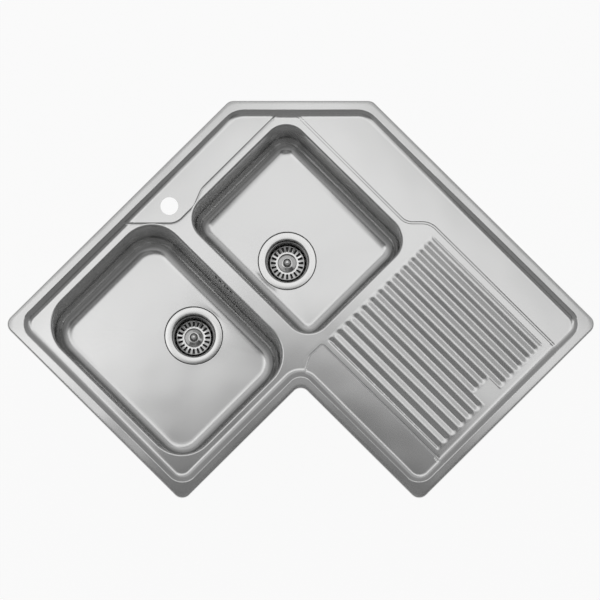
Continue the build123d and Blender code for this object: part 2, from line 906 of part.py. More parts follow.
head_slope = bowl_draft / bowl_depth * overflow_screw_head_r
screw_seat_y = overflow_wall_y - head_slope
with BuildPart() as overflow_screw:
    with BuildSketch(Plane.XZ.offset(-screw_seat_y)):
        with Locations((overflow_x, overflow_z)):
            Circle(overflow_screw_head_r)
    extrude(amount=overflow_screw_head)
    with BuildSketch(Plane.XZ.offset(-screw_seat_y)):
        with Locations((overflow_x, overflow_z)):
            Circle(overflow_screw_r)
    extrude(amount=-(box_face_y - screw_seat_y + box_depth / 2))
save(overflow_screw.part, "overflow_screw")

hose_bore_r = spigot_r + hose_clearance
hose_r = hose_bore_r + hose_wall
hose_top = spigot_end + hose_grip
hose_end = branch_reach - hose_grip
with BuildPart() as overflow_hose:
    x, y = drains["main"]
    with BuildLine(section(x, y, hose_turn)) as hose_path:
        FilletPolyline(
            (hose_distance, hose_top),
            (hose_distance, hose_level),
            (hose_end, hose_level),
            radius=hose_bend_r,
        )
    with BuildSketch(Plane((overflow_x, overflow_y, hose_top))):
        Circle(hose_r)
        Circle(hose_bore_r, mode=Mode.SUBTRACT)
    sweep(path=hose_path.line)
save(overflow_hose.part, "overflow_hose")
hose_length = hose_path.wires()[0].length
hose_volume = pi * (hose_r**2 - hose_bore_r**2) * hose_length
print("hose length", round(hose_length, 1), "mm, bend radius", hose_bend_r, "mm")
print("hose volume over its section by its length", overflow_hose.part.volume / hose_volume)


def hose_clip(base):
    """A band round the hose with the block that its screw pulls on."""
    with BuildPart() as band:
        with BuildSketch(base):
            Circle(hose_r + hose_band)
            with Locations((0, hose_r + hose_band)):
                Rectangle(hose_block, hose_block)
            Circle(hose_r, mode=Mode.SUBTRACT)
        extrude(amount=hose_band_width)
    return band.part


with BuildPart() as hose_clips:
    upper_band = hose_top - hose_band_set_back - hose_band_width
    add(hose_clip(Plane((overflow_x, overflow_y, upper_band), x_dir=(0, 1, 0))))
    add(hose_clip(across(x, y, hose_level, hose_turn, hose_end + hose_band_set_back)))
save(hose_clips.part, "hose_clips")

# ---------------------------------------------------------------- rim seal and damping pads
with BuildPart() as rim_seal:
    with BuildSketch(Plane.XY):
        add(outline(seal_inset))
        add(outline(seal_inset + seal_width), mode=Mode.SUBTRACT)
    extrude(amount=rim_top - sheet)
save(rim_seal.part, "rim_seal")

pad_top = bowl_floor - sheet
pad_inset = bowl_draft + bowl_floor_r + pad_margin
drain_clearance = seat_r + sheet + pad_drain_gap
main_pad_front = main_y - main_width / 2 + pad_inset
main_pad_back = main_drain_y - drain_clearance
back_pad_front = back_drain_y + drain_clearance
back_pad_back = back_y + back_width / 2 - pad_inset
for name, x, length, front, back in (
    ("main_bowl_pad", main_x, main_length - 2 * pad_inset, main_pad_front, main_pad_back),
    ("back_bowl_pad", back_x, back_length - 2 * pad_inset, back_pad_front, back_pad_back),
):
    with BuildPart() as pad:
        with BuildSketch(Plane.XY.offset(pad_top)):
            with Locations((x, (front + back) / 2)):
                RectangleRounded(length, back - front, pad_corner_r)
        extrude(amount=-pad_thickness)
    save(pad.part, name)

# ---------------------------------------------------------------- worktop clips
# Each clip: where it stands, the turn that points along the edge, and the sheet it hangs from.
edge = half - clip_inset
inner_edge = wing_edge - clip_inset
low_seat = deck_top - sheet
ledge_seat = ledge_top - sheet
clips = {
    "clip_left_front": (-edge, main_y - clip_main_set_back, 90, low_seat),
    "clip_left_back": (-edge, back_y - clip_back_set_back, 90, ledge_seat),
    "clip_back_left": (back_x + clip_bowl_set_out, edge, 0, ledge_seat),
    "clip_back_right": (drainer_x + clip_drainer_set_out, edge, 0, ledge_seat),
    "clip_right_end": (edge, rib_middle_y, -90, low_seat),
    "clip_wing_front": (drainer_x, -inner_edge, 180, ledge_seat),
    "clip_inner_side": (inner_edge, main_y - clip_main_set_back, -90, low_seat),
    "clip_left_end": (main_x, -edge, 180, low_seat),
}
with BuildPart() as clip_brackets:
    for x, y, turn, seat in clips.values():
        along = (cos(radians(turn)), sin(radians(turn)), 0)
        with BuildSketch(Plane((x, y, seat), x_dir=along)):
            Rectangle(bracket_length, bracket_width)
            Circle(clip_screw_r + thread_clearance, mode=Mode.SUBTRACT)
        extrude(amount=-bracket_thickness)
        with BuildSketch(Plane((x, y, seat - bracket_thickness), x_dir=along)):
            Circle(boss_r)
            Circle(clip_screw_r + thread_clearance, mode=Mode.SUBTRACT)
        extrude(amount=-boss_height)
save(clip_brackets.part, "clip_brackets")

with BuildPart() as clip_screws:
    for x, y, turn, seat in clips.values():
        add(
            turned(
                x,
                y,
                (0, seat - bracket_thickness / 2),
                (0, seat - clip_screw_length),
                (clip_screw_head_r, seat - clip_screw_length),
                (clip_screw_head_r, seat - clip_screw_length + clip_screw_head),
                (clip_screw_r, seat - clip_screw_length + clip_screw_head),
                (clip_screw_r, seat - bracket_thickness / 2),
            )
        )
save(clip_screws.part, "clip_screws")

for name, (x, y, turn, seat) in clips.items():
    along = (cos(radians(turn)), sin(radians(turn)), 0)
    base = Plane((x, y, seat - clip_screw_length + clip_screw_head), x_dir=along)
    with BuildPart() as clip:
        with BuildSketch(base):
            Circle(clip_hub_r)
        extrude(amount=clip_hub_height)
        with BuildSketch(base):
            with Locations((clip_arm / 2, 0)):
                Rectangle(clip_arm, clip_arm_width)
        extrude(amount=clip_arm_thickness)
        with BuildSketch(base):
            with Locations((clip_arm - clip_arm_thickness / 2, 0)):
                Rectangle(clip_arm_thickness, clip_arm_width)
        extrude(amount=clip_tip_height)
        with BuildSketch(base):
            Circle(clip_screw_r + pivot_clearance)
        extrude(amount=clip_hub_height, mode=Mode.SUBTRACT)
    save(clip.part, name)
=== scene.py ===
"""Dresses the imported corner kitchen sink: pressed top, bowls, strainers, baskets, seals, clips and waste pipes."""

import json
import logging
from collections.abc import Sequence
from dataclasses import dataclass, field
from enum import Enum
from math import atan2, cos, pi, radians, sin, sqrt, tan

import bmesh
import bpy
import numpy as np
from mathutils import Matrix, Vector
from mathutils.geometry import delaunay_2d_cdt


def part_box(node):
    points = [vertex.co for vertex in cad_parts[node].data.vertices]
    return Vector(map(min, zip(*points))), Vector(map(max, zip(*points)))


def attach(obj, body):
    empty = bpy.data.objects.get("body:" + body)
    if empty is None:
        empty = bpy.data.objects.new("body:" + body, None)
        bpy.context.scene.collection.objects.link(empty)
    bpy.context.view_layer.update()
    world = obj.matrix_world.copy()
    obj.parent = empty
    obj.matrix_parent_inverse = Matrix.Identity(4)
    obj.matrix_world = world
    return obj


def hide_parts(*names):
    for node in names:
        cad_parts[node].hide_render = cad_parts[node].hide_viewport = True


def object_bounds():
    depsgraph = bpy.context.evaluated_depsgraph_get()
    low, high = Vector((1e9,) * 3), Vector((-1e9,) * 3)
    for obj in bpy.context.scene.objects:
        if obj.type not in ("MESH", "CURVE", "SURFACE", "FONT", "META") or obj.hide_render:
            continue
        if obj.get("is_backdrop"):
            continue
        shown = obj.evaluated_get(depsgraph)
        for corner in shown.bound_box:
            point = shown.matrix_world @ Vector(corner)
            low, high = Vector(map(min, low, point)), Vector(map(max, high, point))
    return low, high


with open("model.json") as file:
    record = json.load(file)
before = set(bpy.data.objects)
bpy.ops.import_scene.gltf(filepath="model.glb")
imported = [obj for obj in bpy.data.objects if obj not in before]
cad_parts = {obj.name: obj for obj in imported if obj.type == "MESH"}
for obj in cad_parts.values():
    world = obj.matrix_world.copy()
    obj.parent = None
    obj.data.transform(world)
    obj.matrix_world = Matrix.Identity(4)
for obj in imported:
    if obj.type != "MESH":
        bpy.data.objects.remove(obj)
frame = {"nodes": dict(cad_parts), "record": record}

log = logging.getLogger("sink")

MM = 0.001
Point = tuple[float, float]
Socket = bpy.types.NodeSocket
Inputs = dict[str | int, object]
GROUP_SIZE = 1500
CREASE = 40.0
CUT_EDGE_ANGLE = 50.0
FLAT_ANGLE = 0.5
TURNED_MERGE = MM / 100
CAD_MERGE = MM / 200


# ---------------------------------------------------------------- plans, profiles and heights
def arc_points(corner: Vector, before: Vector, after: Vector, radius: float, steps: int) -> list[Vector]:
    """Rounds one corner of a plan or profile.

    Args:
        corner: The sharp corner.
        before: The corner before it.
        after: The corner after it.
        radius: The radius of the arc; 0 keeps the corner sharp.
        steps: How many straight pieces the arc has.

    Returns:
        The points of the arc, from the side before to the side after.
    """
    if radius <= 0:
        return [corner.copy()]
    back = (before - corner).normalized()
    ahead = (after - corner).normalized()
    half_angle = back.angle(ahead) / 2
    centre = corner + (back + ahead).normalized() * (radius / sin(half_angle))
    spoke = corner + back * (radius / tan(half_angle)) - centre
    sweep = pi - 2 * half_angle
    way = -1 if back.cross(ahead) > 0 else 1
    return [
        centre + Matrix.Rotation(way * sweep * step / steps, 2) @ spoke for step in range(steps + 1)
    ]


def closed_ring(corners: Sequence[Point], radii: Sequence[float], sides: Sequence[int], arc: int) -> np.ndarray:
    """Walks round a closed plan with the same count of points whatever its size, so rings can be bridged.

    Args:
        corners: The sharp corners, in order.
        radii: The radius at each corner.
        sides: How many pieces each side is divided into, from each corner to the next.
        arc: How many pieces each corner is divided into.

    Returns:
        The points, one row each.
    """
    sharp = [Vector(corner) for corner in corners]
    count = len(sharp)
    arcs = [
        arc_points(sharp[i], sharp[i - 1], sharp[(i + 1) % count], radii[i], arc) for i in range(count)
    ]
    points = []
    for i, rounded in enumerate(arcs):
        points += rounded
        start = rounded[-1]
        end = arcs[(i + 1) % count][0]
        points += [start.lerp(end, step / sides[i]) for step in range(1, sides[i])]
    return np.array([tuple(point) for point in points])


def open_line(corners: Sequence[tuple[float, float, float]], steps: int = 5) -> list[Point]:
    """Rounds the inner corners of an open profile.

    Args:
        corners: Radius from the axis, height and corner radius of each point, in metres.
        steps: How many pieces each rounded corner has.

    Returns:
        The points of the profile.
    """
    sharp = [Vector(corner[:2]) for corner in corners]
    points = [sharp[0]]
    for i in range(1, len(sharp) - 1):
        points += arc_points(sharp[i], sharp[i - 1], sharp[i + 1], corners[i][2], steps)
    points.append(sharp[-1])
    return [tuple(point) for point in points]


def moved_in(corners: Sequence[Point], radii: Sequence[float], inset: float) -> tuple[np.ndarray, list[float]]:
    """Moves every side of a closed plan inwards by the same distance.

    Args:
        corners: The sharp corners, in order.
        radii: The radius at each corner.
        inset: How far the sides move; a negative distance moves them out.

    Returns:
        The new corners and their radii.
    """
    points = np.array(corners)
    ahead = np.roll(points, -1, axis=0) - points
    ahead /= np.linalg.norm(ahead, axis=1)[:, None]
    behind = np.roll(ahead, 1, axis=0)
    x, y = points.T
    way = np.sign((x * np.roll(y, -1) - np.roll(x, -1) * y).sum())
    inwards = way * np.stack([-ahead[:, 1], ahead[:, 0]], axis=1)
    before = np.roll(inwards, 1, axis=0)
    reach = inset / (1 + (inwards * before).sum(axis=1))
    turns = way * (behind[:, 0] * ahead[:, 1] - behind[:, 1] * ahead[:, 0])
    rounded = [max(0.0, radius - inset * np.sign(turn)) for radius, turn in zip(radii, turns)]
    return points + (inwards + before) * reach[:, None], rounded


def inside_distance(places: np.ndarray, outline: np.ndarray) -> np.ndarray:
    """Measures how far each place is inside a closed outline.

    Args:
        places: The places, one row each.
        outline: The points of the outline, in order.

    Returns:
        The distances, which are negative outside the outline.
    """
    ends = np.roll(outline, -1, axis=0)
    run = ends - outline
    slope = np.divide(run[:, 0], run[:, 1], out=np.zeros(len(run)), where=run[:, 1] != 0)
    found = []
    for group in np.array_split(places, len(places) // GROUP_SIZE + 1):
        away = group[:, None] - outline[None]
        along = np.clip((away * run).sum(axis=2) / (run * run).sum(axis=1), 0, 1)
        distance = np.linalg.norm(away - along[..., None] * run, axis=2).min(axis=1)
        x, y = group[:, 0, None], group[:, 1, None]
        spans = (outline[:, 1] > y) != (ends[:, 1] > y)
        crossed = spans & (x < outline[:, 0] + (y - outline[:, 1]) * slope)
        found.append(np.where(crossed.sum(axis=1) % 2 == 1, distance, -distance))
    return np.concatenate(found)


def higher(a: np.ndarray, b: np.ndarray, blend: float) -> np.ndarray:
    """The higher of two surfaces, with the crease between them rounded over the blend."""
    return np.maximum(a, b) + np.maximum(blend - np.abs(a - b), 0) ** 2 / (4 * blend)


def lower(a: np.ndarray, b: np.ndarray, blend: float) -> np.ndarray:
    """The lower of two surfaces, with the crease between them rounded over the blend."""
    return -higher(-a, -b, blend)


def grid_lines(low: float, high: float, coarse: float, fine: float, zones: Sequence[Point]) -> list[float]:
    """Divides a span finely where the sheet bends and coarsely where it is flat.

    Args:
        low: Start of the span.
        high: End of the span.
        coarse: Spacing where the sheet is flat.
        fine: Spacing inside the zones.
        zones: Low and high end of each zone that bends.

    Returns:
        The places of the lines, from low to high.
    """
    lines = [low]
    while lines[-1] < high:
        here = lines[-1]
        in_zone = any(start <= here < end for start, end in zones)
        ahead = [start for start, end in zones if here < start < here + coarse]
        step = fine if in_zone else min([start - here for start in ahead] + [coarse])
        lines.append(min(here + step, high))
    return lines


def box_corners(x: float, y: float, half_x: float, half_y: float) -> list[Point]:
    """The corners of a rectangle about its middle, in order."""
    ways = ((-1, -1), (1, -1), (1, 1), (-1, 1))
    return [(x + way_x * half_x, y + way_y * half_y) for way_x, way_y in ways]


def at_height(plan: np.ndarray, z: float) -> np.ndarray:
    """The points of a flat plan, all at one height."""
    return np.column_stack([plan, np.full(len(plan), z)])


# ---------------------------------------------------------------- meshes
def make_piece(name: str, mesh: bmesh.types.BMesh, crease: float = 32.0) -> bpy.types.Object:
    """Turns a bmesh into a smooth-shaded object at the origin.

    Args:
        name: The piece's name.
        mesh: The bmesh, which is freed.
        crease: Edges that fold more than this many degrees are shaded sharp.

    Returns:
        The new object.
    """
    data = bpy.data.meshes.new(name)
    mesh.to_mesh(data)
    mesh.free()
    data.shade_smooth()
    data.set_sharp_from_angle(angle=radians(crease))
    piece = bpy.data.objects.new(name, data)
    bpy.context.scene.collection.objects.link(piece)
    return piece


def skin(rings: Sequence[np.ndarray]) -> bmesh.types.BMesh:
    """Lays faces from each closed ring to the next, as an open skin.

    Args:
        rings: The rings, which all have the same count of points.

    Returns:
        The new bmesh.
    """
    mesh = bmesh.new()
    loops = [[mesh.verts.new(point) for point in ring] for ring in rings]
    for outer, inner in zip(loops, loops[1:]):
        for i in range(len(outer)):
            mesh.faces.new((outer[i - 1], outer[i], inner[i], inner[i - 1]))
    bmesh.ops.recalc_face_normals(mesh, faces=mesh.faces)
    return mesh


def turned(profile: Sequence[Point], centre: Point, segments: int = 96) -> bmesh.types.BMesh:
    """Spins a profile about an upright axis.

    Args:
        profile: Radius and height of each point.
        centre: The place of the axis.
        segments: How many steps the full turn has.

    Returns:
        The new bmesh.
    """
    mesh = bmesh.new()
    verts = [mesh.verts.new((centre[0] + radius, centre[1], height)) for radius, height in profile]
    edges = [mesh.edges.new(pair) for pair in zip(verts, verts[1:])]
    bmesh.ops.spin(
        mesh,
        geom=verts + edges,
        cent=(centre[0], centre[1], 0),
        axis=(0, 0, 1),
        angle=2 * pi,
        steps=segments,
        use_merge=True,
    )
    bmesh.ops.remove_doubles(mesh, verts=mesh.verts, dist=TURNED_MERGE)
    bmesh.ops.recalc_face_normals(mesh, faces=mesh.faces)
    return mesh


def prism(ring: np.ndarray, low: float, high: float) -> bmesh.types.BMesh:
    """Builds a closed block.

    Args:
        ring: The points of its plan.
        low: The height of its underside.
        high: The height of its top.

    Returns:
        The new bmesh.
    """
    mesh = bmesh.new()
    base = mesh.faces.new([mesh.verts.new((x, y, low)) for x, y in ring])
    grown = bmesh.ops.extrude_face_region(mesh, geom=[base])["geom"]
    top = [part for part in grown if isinstance(part, bmesh.types.BMVert)]
    bmesh.ops.translate(mesh, verts=top, vec=(0, 0, high - low))
    bmesh.ops.recalc_face_normals(mesh, faces=mesh.faces)
    return mesh


def settle(piece: bpy.types.Object) -> None:
    """Applies every modifier of a piece to its mesh, and shades its folds sharp.

    Args:
        piece: The piece.
    """
    graph = bpy.context.evaluated_depsgraph_get()
    done = bpy.data.meshes.new_from_object(piece.evaluated_get(graph))
    piece.modifiers.clear()
    old = piece.data
    piece.data = done
    bpy.data.meshes.remove(old)
    done.shade_smooth()
    done.set_sharp_from_angle(angle=radians(CREASE))


def break_edges(piece: bpy.types.Object, width: float, angle: float) -> None:
    """Adds a small bevel to the sharp edges of a piece.

    Args:
        piece: The piece.
        width: The width of the bevel.
        angle: How many degrees an edge folds, at least, to be broken.
    """
    edge = piece.modifiers.new("edge", "BEVEL")
    edge.width = width
    edge.segments = 2
    edge.limit_method = "ANGLE"
    edge.angle_limit = radians(angle)


def press(name: str, mesh: bmesh.types.BMesh, thickness: float, edge: float = 0.0) -> bpy.types.Object:
    """Makes a metal sheet below an open skin.

    Args:
        name: The piece's name.
        mesh: The skin, which is freed.
        thickness: The thickness of the sheet.
        edge: How far its cut edges are broken.

    Returns:
        The new object.
    """
    if sum(face.normal.z * face.calc_area() for face in mesh.faces) < 0:
        bmesh.ops.reverse_faces(mesh, faces=mesh.faces)
    piece = make_piece(name, mesh)
    wall = piece.modifiers.new("sheet", "SOLIDIFY")
    wall.thickness = thickness
    wall.offset = -1
    if edge:
        break_edges(piece, edge, CUT_EDGE_ANGLE)
    settle(piece)
    return piece


def carve(piece: bpy.types.Object, cutter: bpy.types.Object) -> None:
    """Cuts another object out of a piece.

    Args:
        piece: The piece.
        cutter: The other object, which is removed.
    """
    cut = piece.modifiers.new("cut", "BOOLEAN")
    cut.operation = "DIFFERENCE"
    cut.solver = "MANIFOLD"
    cut.object = cutter
    settle(piece)
    bpy.data.objects.remove(cutter)


# ---------------------------------------------------------------- nodes
def fill_inputs(tree: bpy.types.NodeTree, node: bpy.types.Node, inputs: Inputs) -> None:
    """Links a socket, or sets a plain value, at each input of a node.

    Args:
        tree: The tree that the node is in.
        node: The node.
        inputs: The socket or value for each input, by the input's name or number.
    """
    for name, value in inputs.items():
        if isinstance(value, Socket):
            tree.links.new(value, node.inputs[name])
        else:
            node.inputs[name].default_value = value


def add_node(
    tree: bpy.types.NodeTree, kind: str, inputs: Inputs | None = None, **settings: object
) -> bpy.types.Node:
    """Adds a shader node to a tree.

    Args:
        tree: The tree.
        kind: The node's type, without "ShaderNode" before it.
        inputs: What goes in at each input, as in fill_inputs.
        **settings: The node's options, which are set first.

    Returns:
        The new node.
    """
    node = tree.nodes.new(f"ShaderNode{kind}")
    for name, value in settings.items():
        setattr(node, name, value)
    fill_inputs(tree, node, inputs or {})
    return node


def computed(tree: bpy.types.NodeTree, operation: str, *terms: Socket | float) -> Socket:
    """One step of arithmetic on sockets and plain numbers."""
    return add_node(tree, "Math", dict(enumerate(terms)), operation=operation).outputs["Value"]


def ranged(tree: bpy.types.NodeTree, value: Socket, low: Point, high: Point, kind: str = "LINEAR") -> Socket:
    """Changes a value into a level.

    Args:
        tree: The tree.
        value: The value.
        low: Where the range starts, and the level there.
        high: Where it ends, and the level there.
        kind: How the level changes between them.

    Returns:
        The level.
    """
    names = ("Value", "From Min", "To Min", "From Max", "To Max")
    inputs = dict(zip(names, (value, *low, *high)))
    return add_node(tree, "MapRange", inputs, interpolation_type=kind).outputs["Result"]


def grey_ramp(tree: bpy.types.NodeTree, value: Socket, stops: Sequence[Point]) -> Socket:
    """Looks a value up on a grey ramp.

    Args:
        tree: The tree.
        value: The value, from 0 to 1.
        stops: Position and grey level of each stop, from low to high.

    Returns:
        The grey colour.
    """
    ramp = add_node(tree, "ValToRGB", {"Fac": value})
    elements = ramp.color_ramp.elements
    elements[0].position, elements[1].position = stops[0][0], stops[-1][0]
    for position, _ in stops[1:-1]:
        elements.new(position)
    for element, (_, level) in zip(elements, stops):
        element.color = (level, level, level, 1)
    return ramp.outputs["Color"]


def new_material(name: str) -> tuple[bpy.types.Material, bpy.types.NodeTree, bpy.types.Node]:
    """Makes a material.

    Args:
        name: Its name.

    Returns:
        The material, its tree and its main shader.
    """
    made = bpy.data.materials.new(name)
    made.use_nodes = True
    return made, made.node_tree, made.node_tree.nodes["Principled BSDF"]


# ---------------------------------------------------------------- finishes
class Slot(Enum):
    """The record's material slots."""

    SHEET = "pressed_steel"
    STRAINER = "strainer_steel"
    SEAL = "seal_rubber"
    PAD = "damping_pad"
    FIBRE = "fibre"
    NUT = "nut_plastic"
    PIPE = "pipe_plastic"
    HOSE = "hose_plastic"
    ZINC = "zinc_steel"


def surface_group() -> bpy.types.NodeTree:
    """Builds the shared group that varies a finish: fine grain, broad clouds and slow waves.

    Returns:
        A group that puts out a colour, a roughness and the heights of its grain and its waves.
    """
    tree = bpy.data.node_groups.new("surface_variation", "ShaderNodeTree")
    floats = ("Grain Scale", "Cloud Scale", "Wave Scale", "Roughness", "Roughness Spread")
    sockets = [("INPUT", "Color", "Colour"), ("INPUT", "Color", "Cloud Colour"), ("INPUT", "Vector", "Vector")]
    sockets += [("INPUT", "Float", name) for name in floats]
    sockets += [("OUTPUT", "Color", "Colour")]
    sockets += [("OUTPUT", "Float", name) for name in ("Roughness", "Height", "Wave")]
    for way, kind, name in sockets:
        tree.interface.new_socket(name=name, in_out=way, socket_type=f"NodeSocket{kind}")
    source = tree.nodes.new("NodeGroupInput").outputs
    grain, cloud, wave = (
        add_node(
            tree, "TexNoise", {"Vector": source["Vector"], "Scale": source[f"{name} Scale"], "Detail": detail}
        ).outputs["Fac"]
        for name, detail in (("Grain", 2.0), ("Cloud", 3.0), ("Wave", 1.0))
    )
    tints = {"Factor": cloud, "A": source["Colour"], "B": source["Cloud Colour"]}
    tint = add_node(tree, "Mix", tints, data_type="RGBA")
    centred = computed(tree, "SUBTRACT", computed(tree, "ADD", grain, cloud), 1.0)
    rough = computed(tree, "MULTIPLY_ADD", centred, source["Roughness Spread"], source["Roughness"])
    results = {"Colour": tint.outputs["Result"], "Roughness": rough, "Height": grain, "Wave": wave}
    fill_inputs(tree, tree.nodes.new("NodeGroupOutput"), results)
    return tree


@dataclass(frozen=True)
class Finish:
    """One finish: a varied colour, a varied gloss and a fine relief.

    Attributes:
        slot: The record's material slot that it stands for.
        colour: The base colour, linear.
        cloud: The colour that the base drifts to in broad clouds.
        metallic: 1 for metals, 0 for plastics and rubber.
        roughness: The middle roughness.
        spread: How far the roughness drifts.
        grain: Grains to a metre.
        relief: Depth of the grain, in metres.
        clouds: Clouds to a metre.
        wave: Depth of the slow waves in the surface, in metres.
        waves: Slow waves to a metre.
        painted_shade: Painted shade, by height, in the drain's throat and under the basket: heights from low to high,
            each with the share of the colour kept.
    """

    slot: Slot
    colour: tuple[float, float, float]
    cloud: tuple[float, float, float]
    metallic: float
    roughness: float
    spread: float = 0.08
    grain: float = 900.0
    relief: float = 0.02 * MM
    clouds: float = 7.0
    wave: float = 0.0
    waves: float = 8.0
    painted_shade: tuple[Point, ...] = ()

    def material(self, group: bpy.types.NodeTree) -> bpy.types.Material:
        """Builds the material.

        Args:
            group: The shared group that varies a finish.

        Returns:
            The material, named after its slot.
        """
        made, tree, shader = new_material(self.slot.value)
        place = add_node(tree, "TexCoord").outputs["Object"]
        inputs = {
            "Vector": place,
            "Colour": (*self.colour, 1),
            "Cloud Colour": (*self.cloud, 1),
            "Grain Scale": self.grain,
            "Cloud Scale": self.clouds,
            "Wave Scale": self.waves,
            "Roughness": self.roughness,
            "Roughness Spread": self.spread,
        }
        varied = add_node(tree, "Group", inputs, node_tree=group).outputs
        colour = self.add_painted_shade(tree, place, varied["Colour"]) if self.painted_shade else varied["Colour"]
        bump = {"Distance": self.relief, "Strength": 1.0, "Height": varied["Height"]}
        relief = add_node(tree, "Bump", bump).outputs["Normal"]
        bump = {"Distance": self.wave, "Strength": 1.0, "Height": varied["Wave"], "Normal": relief}
        normal = add_node(tree, "Bump", bump).outputs["Normal"]
        surface = {"Base Color": colour, "Roughness": varied["Roughness"], "Normal": normal}
        fill_inputs(tree, shader, {"Metallic": self.metallic, **surface})
        return made

    def add_painted_shade(self, tree: bpy.types.NodeTree, place: Socket, colour: Socket) -> Socket:
        """Paints shade into a colour by darkening it at the given heights, in the drain's throat and under the
        basket.

        Args:
            tree: The material's nodes.
            place: The place on the object.
            colour: The colour before.

        Returns:
            The colour after.
        """
        low, high = self.painted_shade[0][0], self.painted_shade[-1][0]
        height = add_node(tree, "SeparateXYZ", {"Vector": place}).outputs["Z"]
        stops = [((level - low) / (high - low), share) for level, share in self.painted_shade]
        kept = grey_ramp(tree, ranged(tree, height, (low, 0.0), (high, 1.0)), stops)
        return add_node(tree, "VectorMath", {0: colour, 1: kept}, operation="MULTIPLY").outputs["Vector"]


# Painted shade down the drain's throat and under the basket, with a narrow band at the basket's cone kept at full
# colour: height in metres and the share of the colour that is kept there.
CUP_PAINTED_SHADE = (
    (-0.1985, 0.05),
    (-0.1970, 0.10),
    (-0.1960, 1.00),
    (-0.1925, 1.00),
    (-0.1905, 0.30),
    (-0.1790, 0.38),
    (-0.1650, 0.50),
    (-0.1625, 1.00),
)
PALE_SHEET = (0.75, 0.75, 0.745)
FINISHES = (
    Finish(Slot.SHEET, (0.70,) * 3, PALE_SHEET, 1.0, 0.20, spread=0.05, relief=0.001 * MM, wave=1.2 * MM),
    # The strainer steel carries painted shade in the drain's throat and under the basket.
    Finish(Slot.STRAINER, (0.72,) * 3, (0.78, 0.78, 0.77), 1.0, 0.13, spread=0.04, painted_shade=CUP_PAINTED_SHADE),
    Finish(Slot.SEAL, (0.03,) * 3, (0.045,) * 3, 0.0, 0.65, grain=1500.0),
    Finish(Slot.PAD, (0.035, 0.035, 0.04), (0.06,) * 3, 0.0, 0.85, grain=500.0, relief=0.2 * MM),
    Finish(Slot.FIBRE, (0.30, 0.10, 0.05), (0.38, 0.15, 0.08), 0.0, 0.80, grain=1200.0),
    Finish(Slot.NUT, (0.72, 0.72, 0.70), (0.78, 0.78, 0.75), 0.0, 0.42, grain=1300.0),
    Finish(Slot.PIPE, (0.78, 0.78, 0.76), (0.83, 0.83, 0.80), 0.0, 0.36, grain=1300.0),
    Finish(Slot.HOSE, (0.62, 0.63, 0.63), (0.68, 0.69, 0.69), 0.0, 0.50, grain=1300.0),
    Finish(Slot.ZINC, (0.55, 0.56, 0.58), (0.66,) * 3, 1.0, 0.34, spread=0.16, clouds=60.0),
)
# Painted shade: the knob is a darker copy of the strainer steel.
SHADED_KNOB_FINISH = Finish(Slot.STRAINER, (0.60,) * 3, (0.66, 0.66, 0.65), 1.0, 0.16, spread=0.04)


class Dresser:
    """Gives each piece its material and its body, and hides the CAD node that it stands for."""

    def __init__(self) -> None:
        """Builds the materials once."""
        group = surface_group()
        self.materials = {finish.slot: finish.material(group) for finish in FINISHES}
        self.shaded_knob_material = SHADED_KNOB_FINISH.material(group)
        self.bodies = {
            node: body
            for body, nodes in frame["record"]["behaviour"]["bodies"].items()
            for node in nodes
        }
        self.slots = {row["node"]: Slot(row["material_slot"]) for row in frame["record"]["subparts"]}

    def dress(self, piece: bpy.types.Object, node: str) -> bpy.types.Object:
        """Puts a new piece in the place of a CAD node.

        Args:
            piece: The finished piece.
            node: The node that it stands for.

        Returns:
            The piece.
        """
        slot = self.slots[node]
        piece.data.materials.clear()
        # Knobs take the darker copy of the strainer steel, which is painted shade.
        piece.data.materials.append(self.shaded_knob_material if node.endswith("_knob") else self.materials[slot])
        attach(piece, self.bodies[node])
        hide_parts(node)
        log.info("%s: %d faces, rides on %s", piece.name, len(piece.data.polygons), self.bodies[node])
        return piece

    def refine(self, node: str, bevel: float = 0.4 * MM) -> bpy.types.Object:
        """Dresses a machined or moulded CAD piece as a smooth copy with its edges broken.

        Args:
            node: The CAD node.
            bevel: How far its sharp edges are broken.

        Returns:
            The new piece.
        """
        mesh = bmesh.new()
        mesh.from_mesh(frame["nodes"][node].data)
        bmesh.ops.remove_doubles(mesh, verts=mesh.verts, dist=CAD_MERGE)
        angle = radians(FLAT_ANGLE)
        bmesh.ops.dissolve_limit(
            mesh, angle_limit=angle, verts=mesh.verts, edges=mesh.edges, use_dissolve_boundaries=False
        )
        piece = make_piece(f"{node}_piece", mesh)
        break_edges(piece, bevel, CREASE)
        settle(piece)
        return self.dress(piece, node)


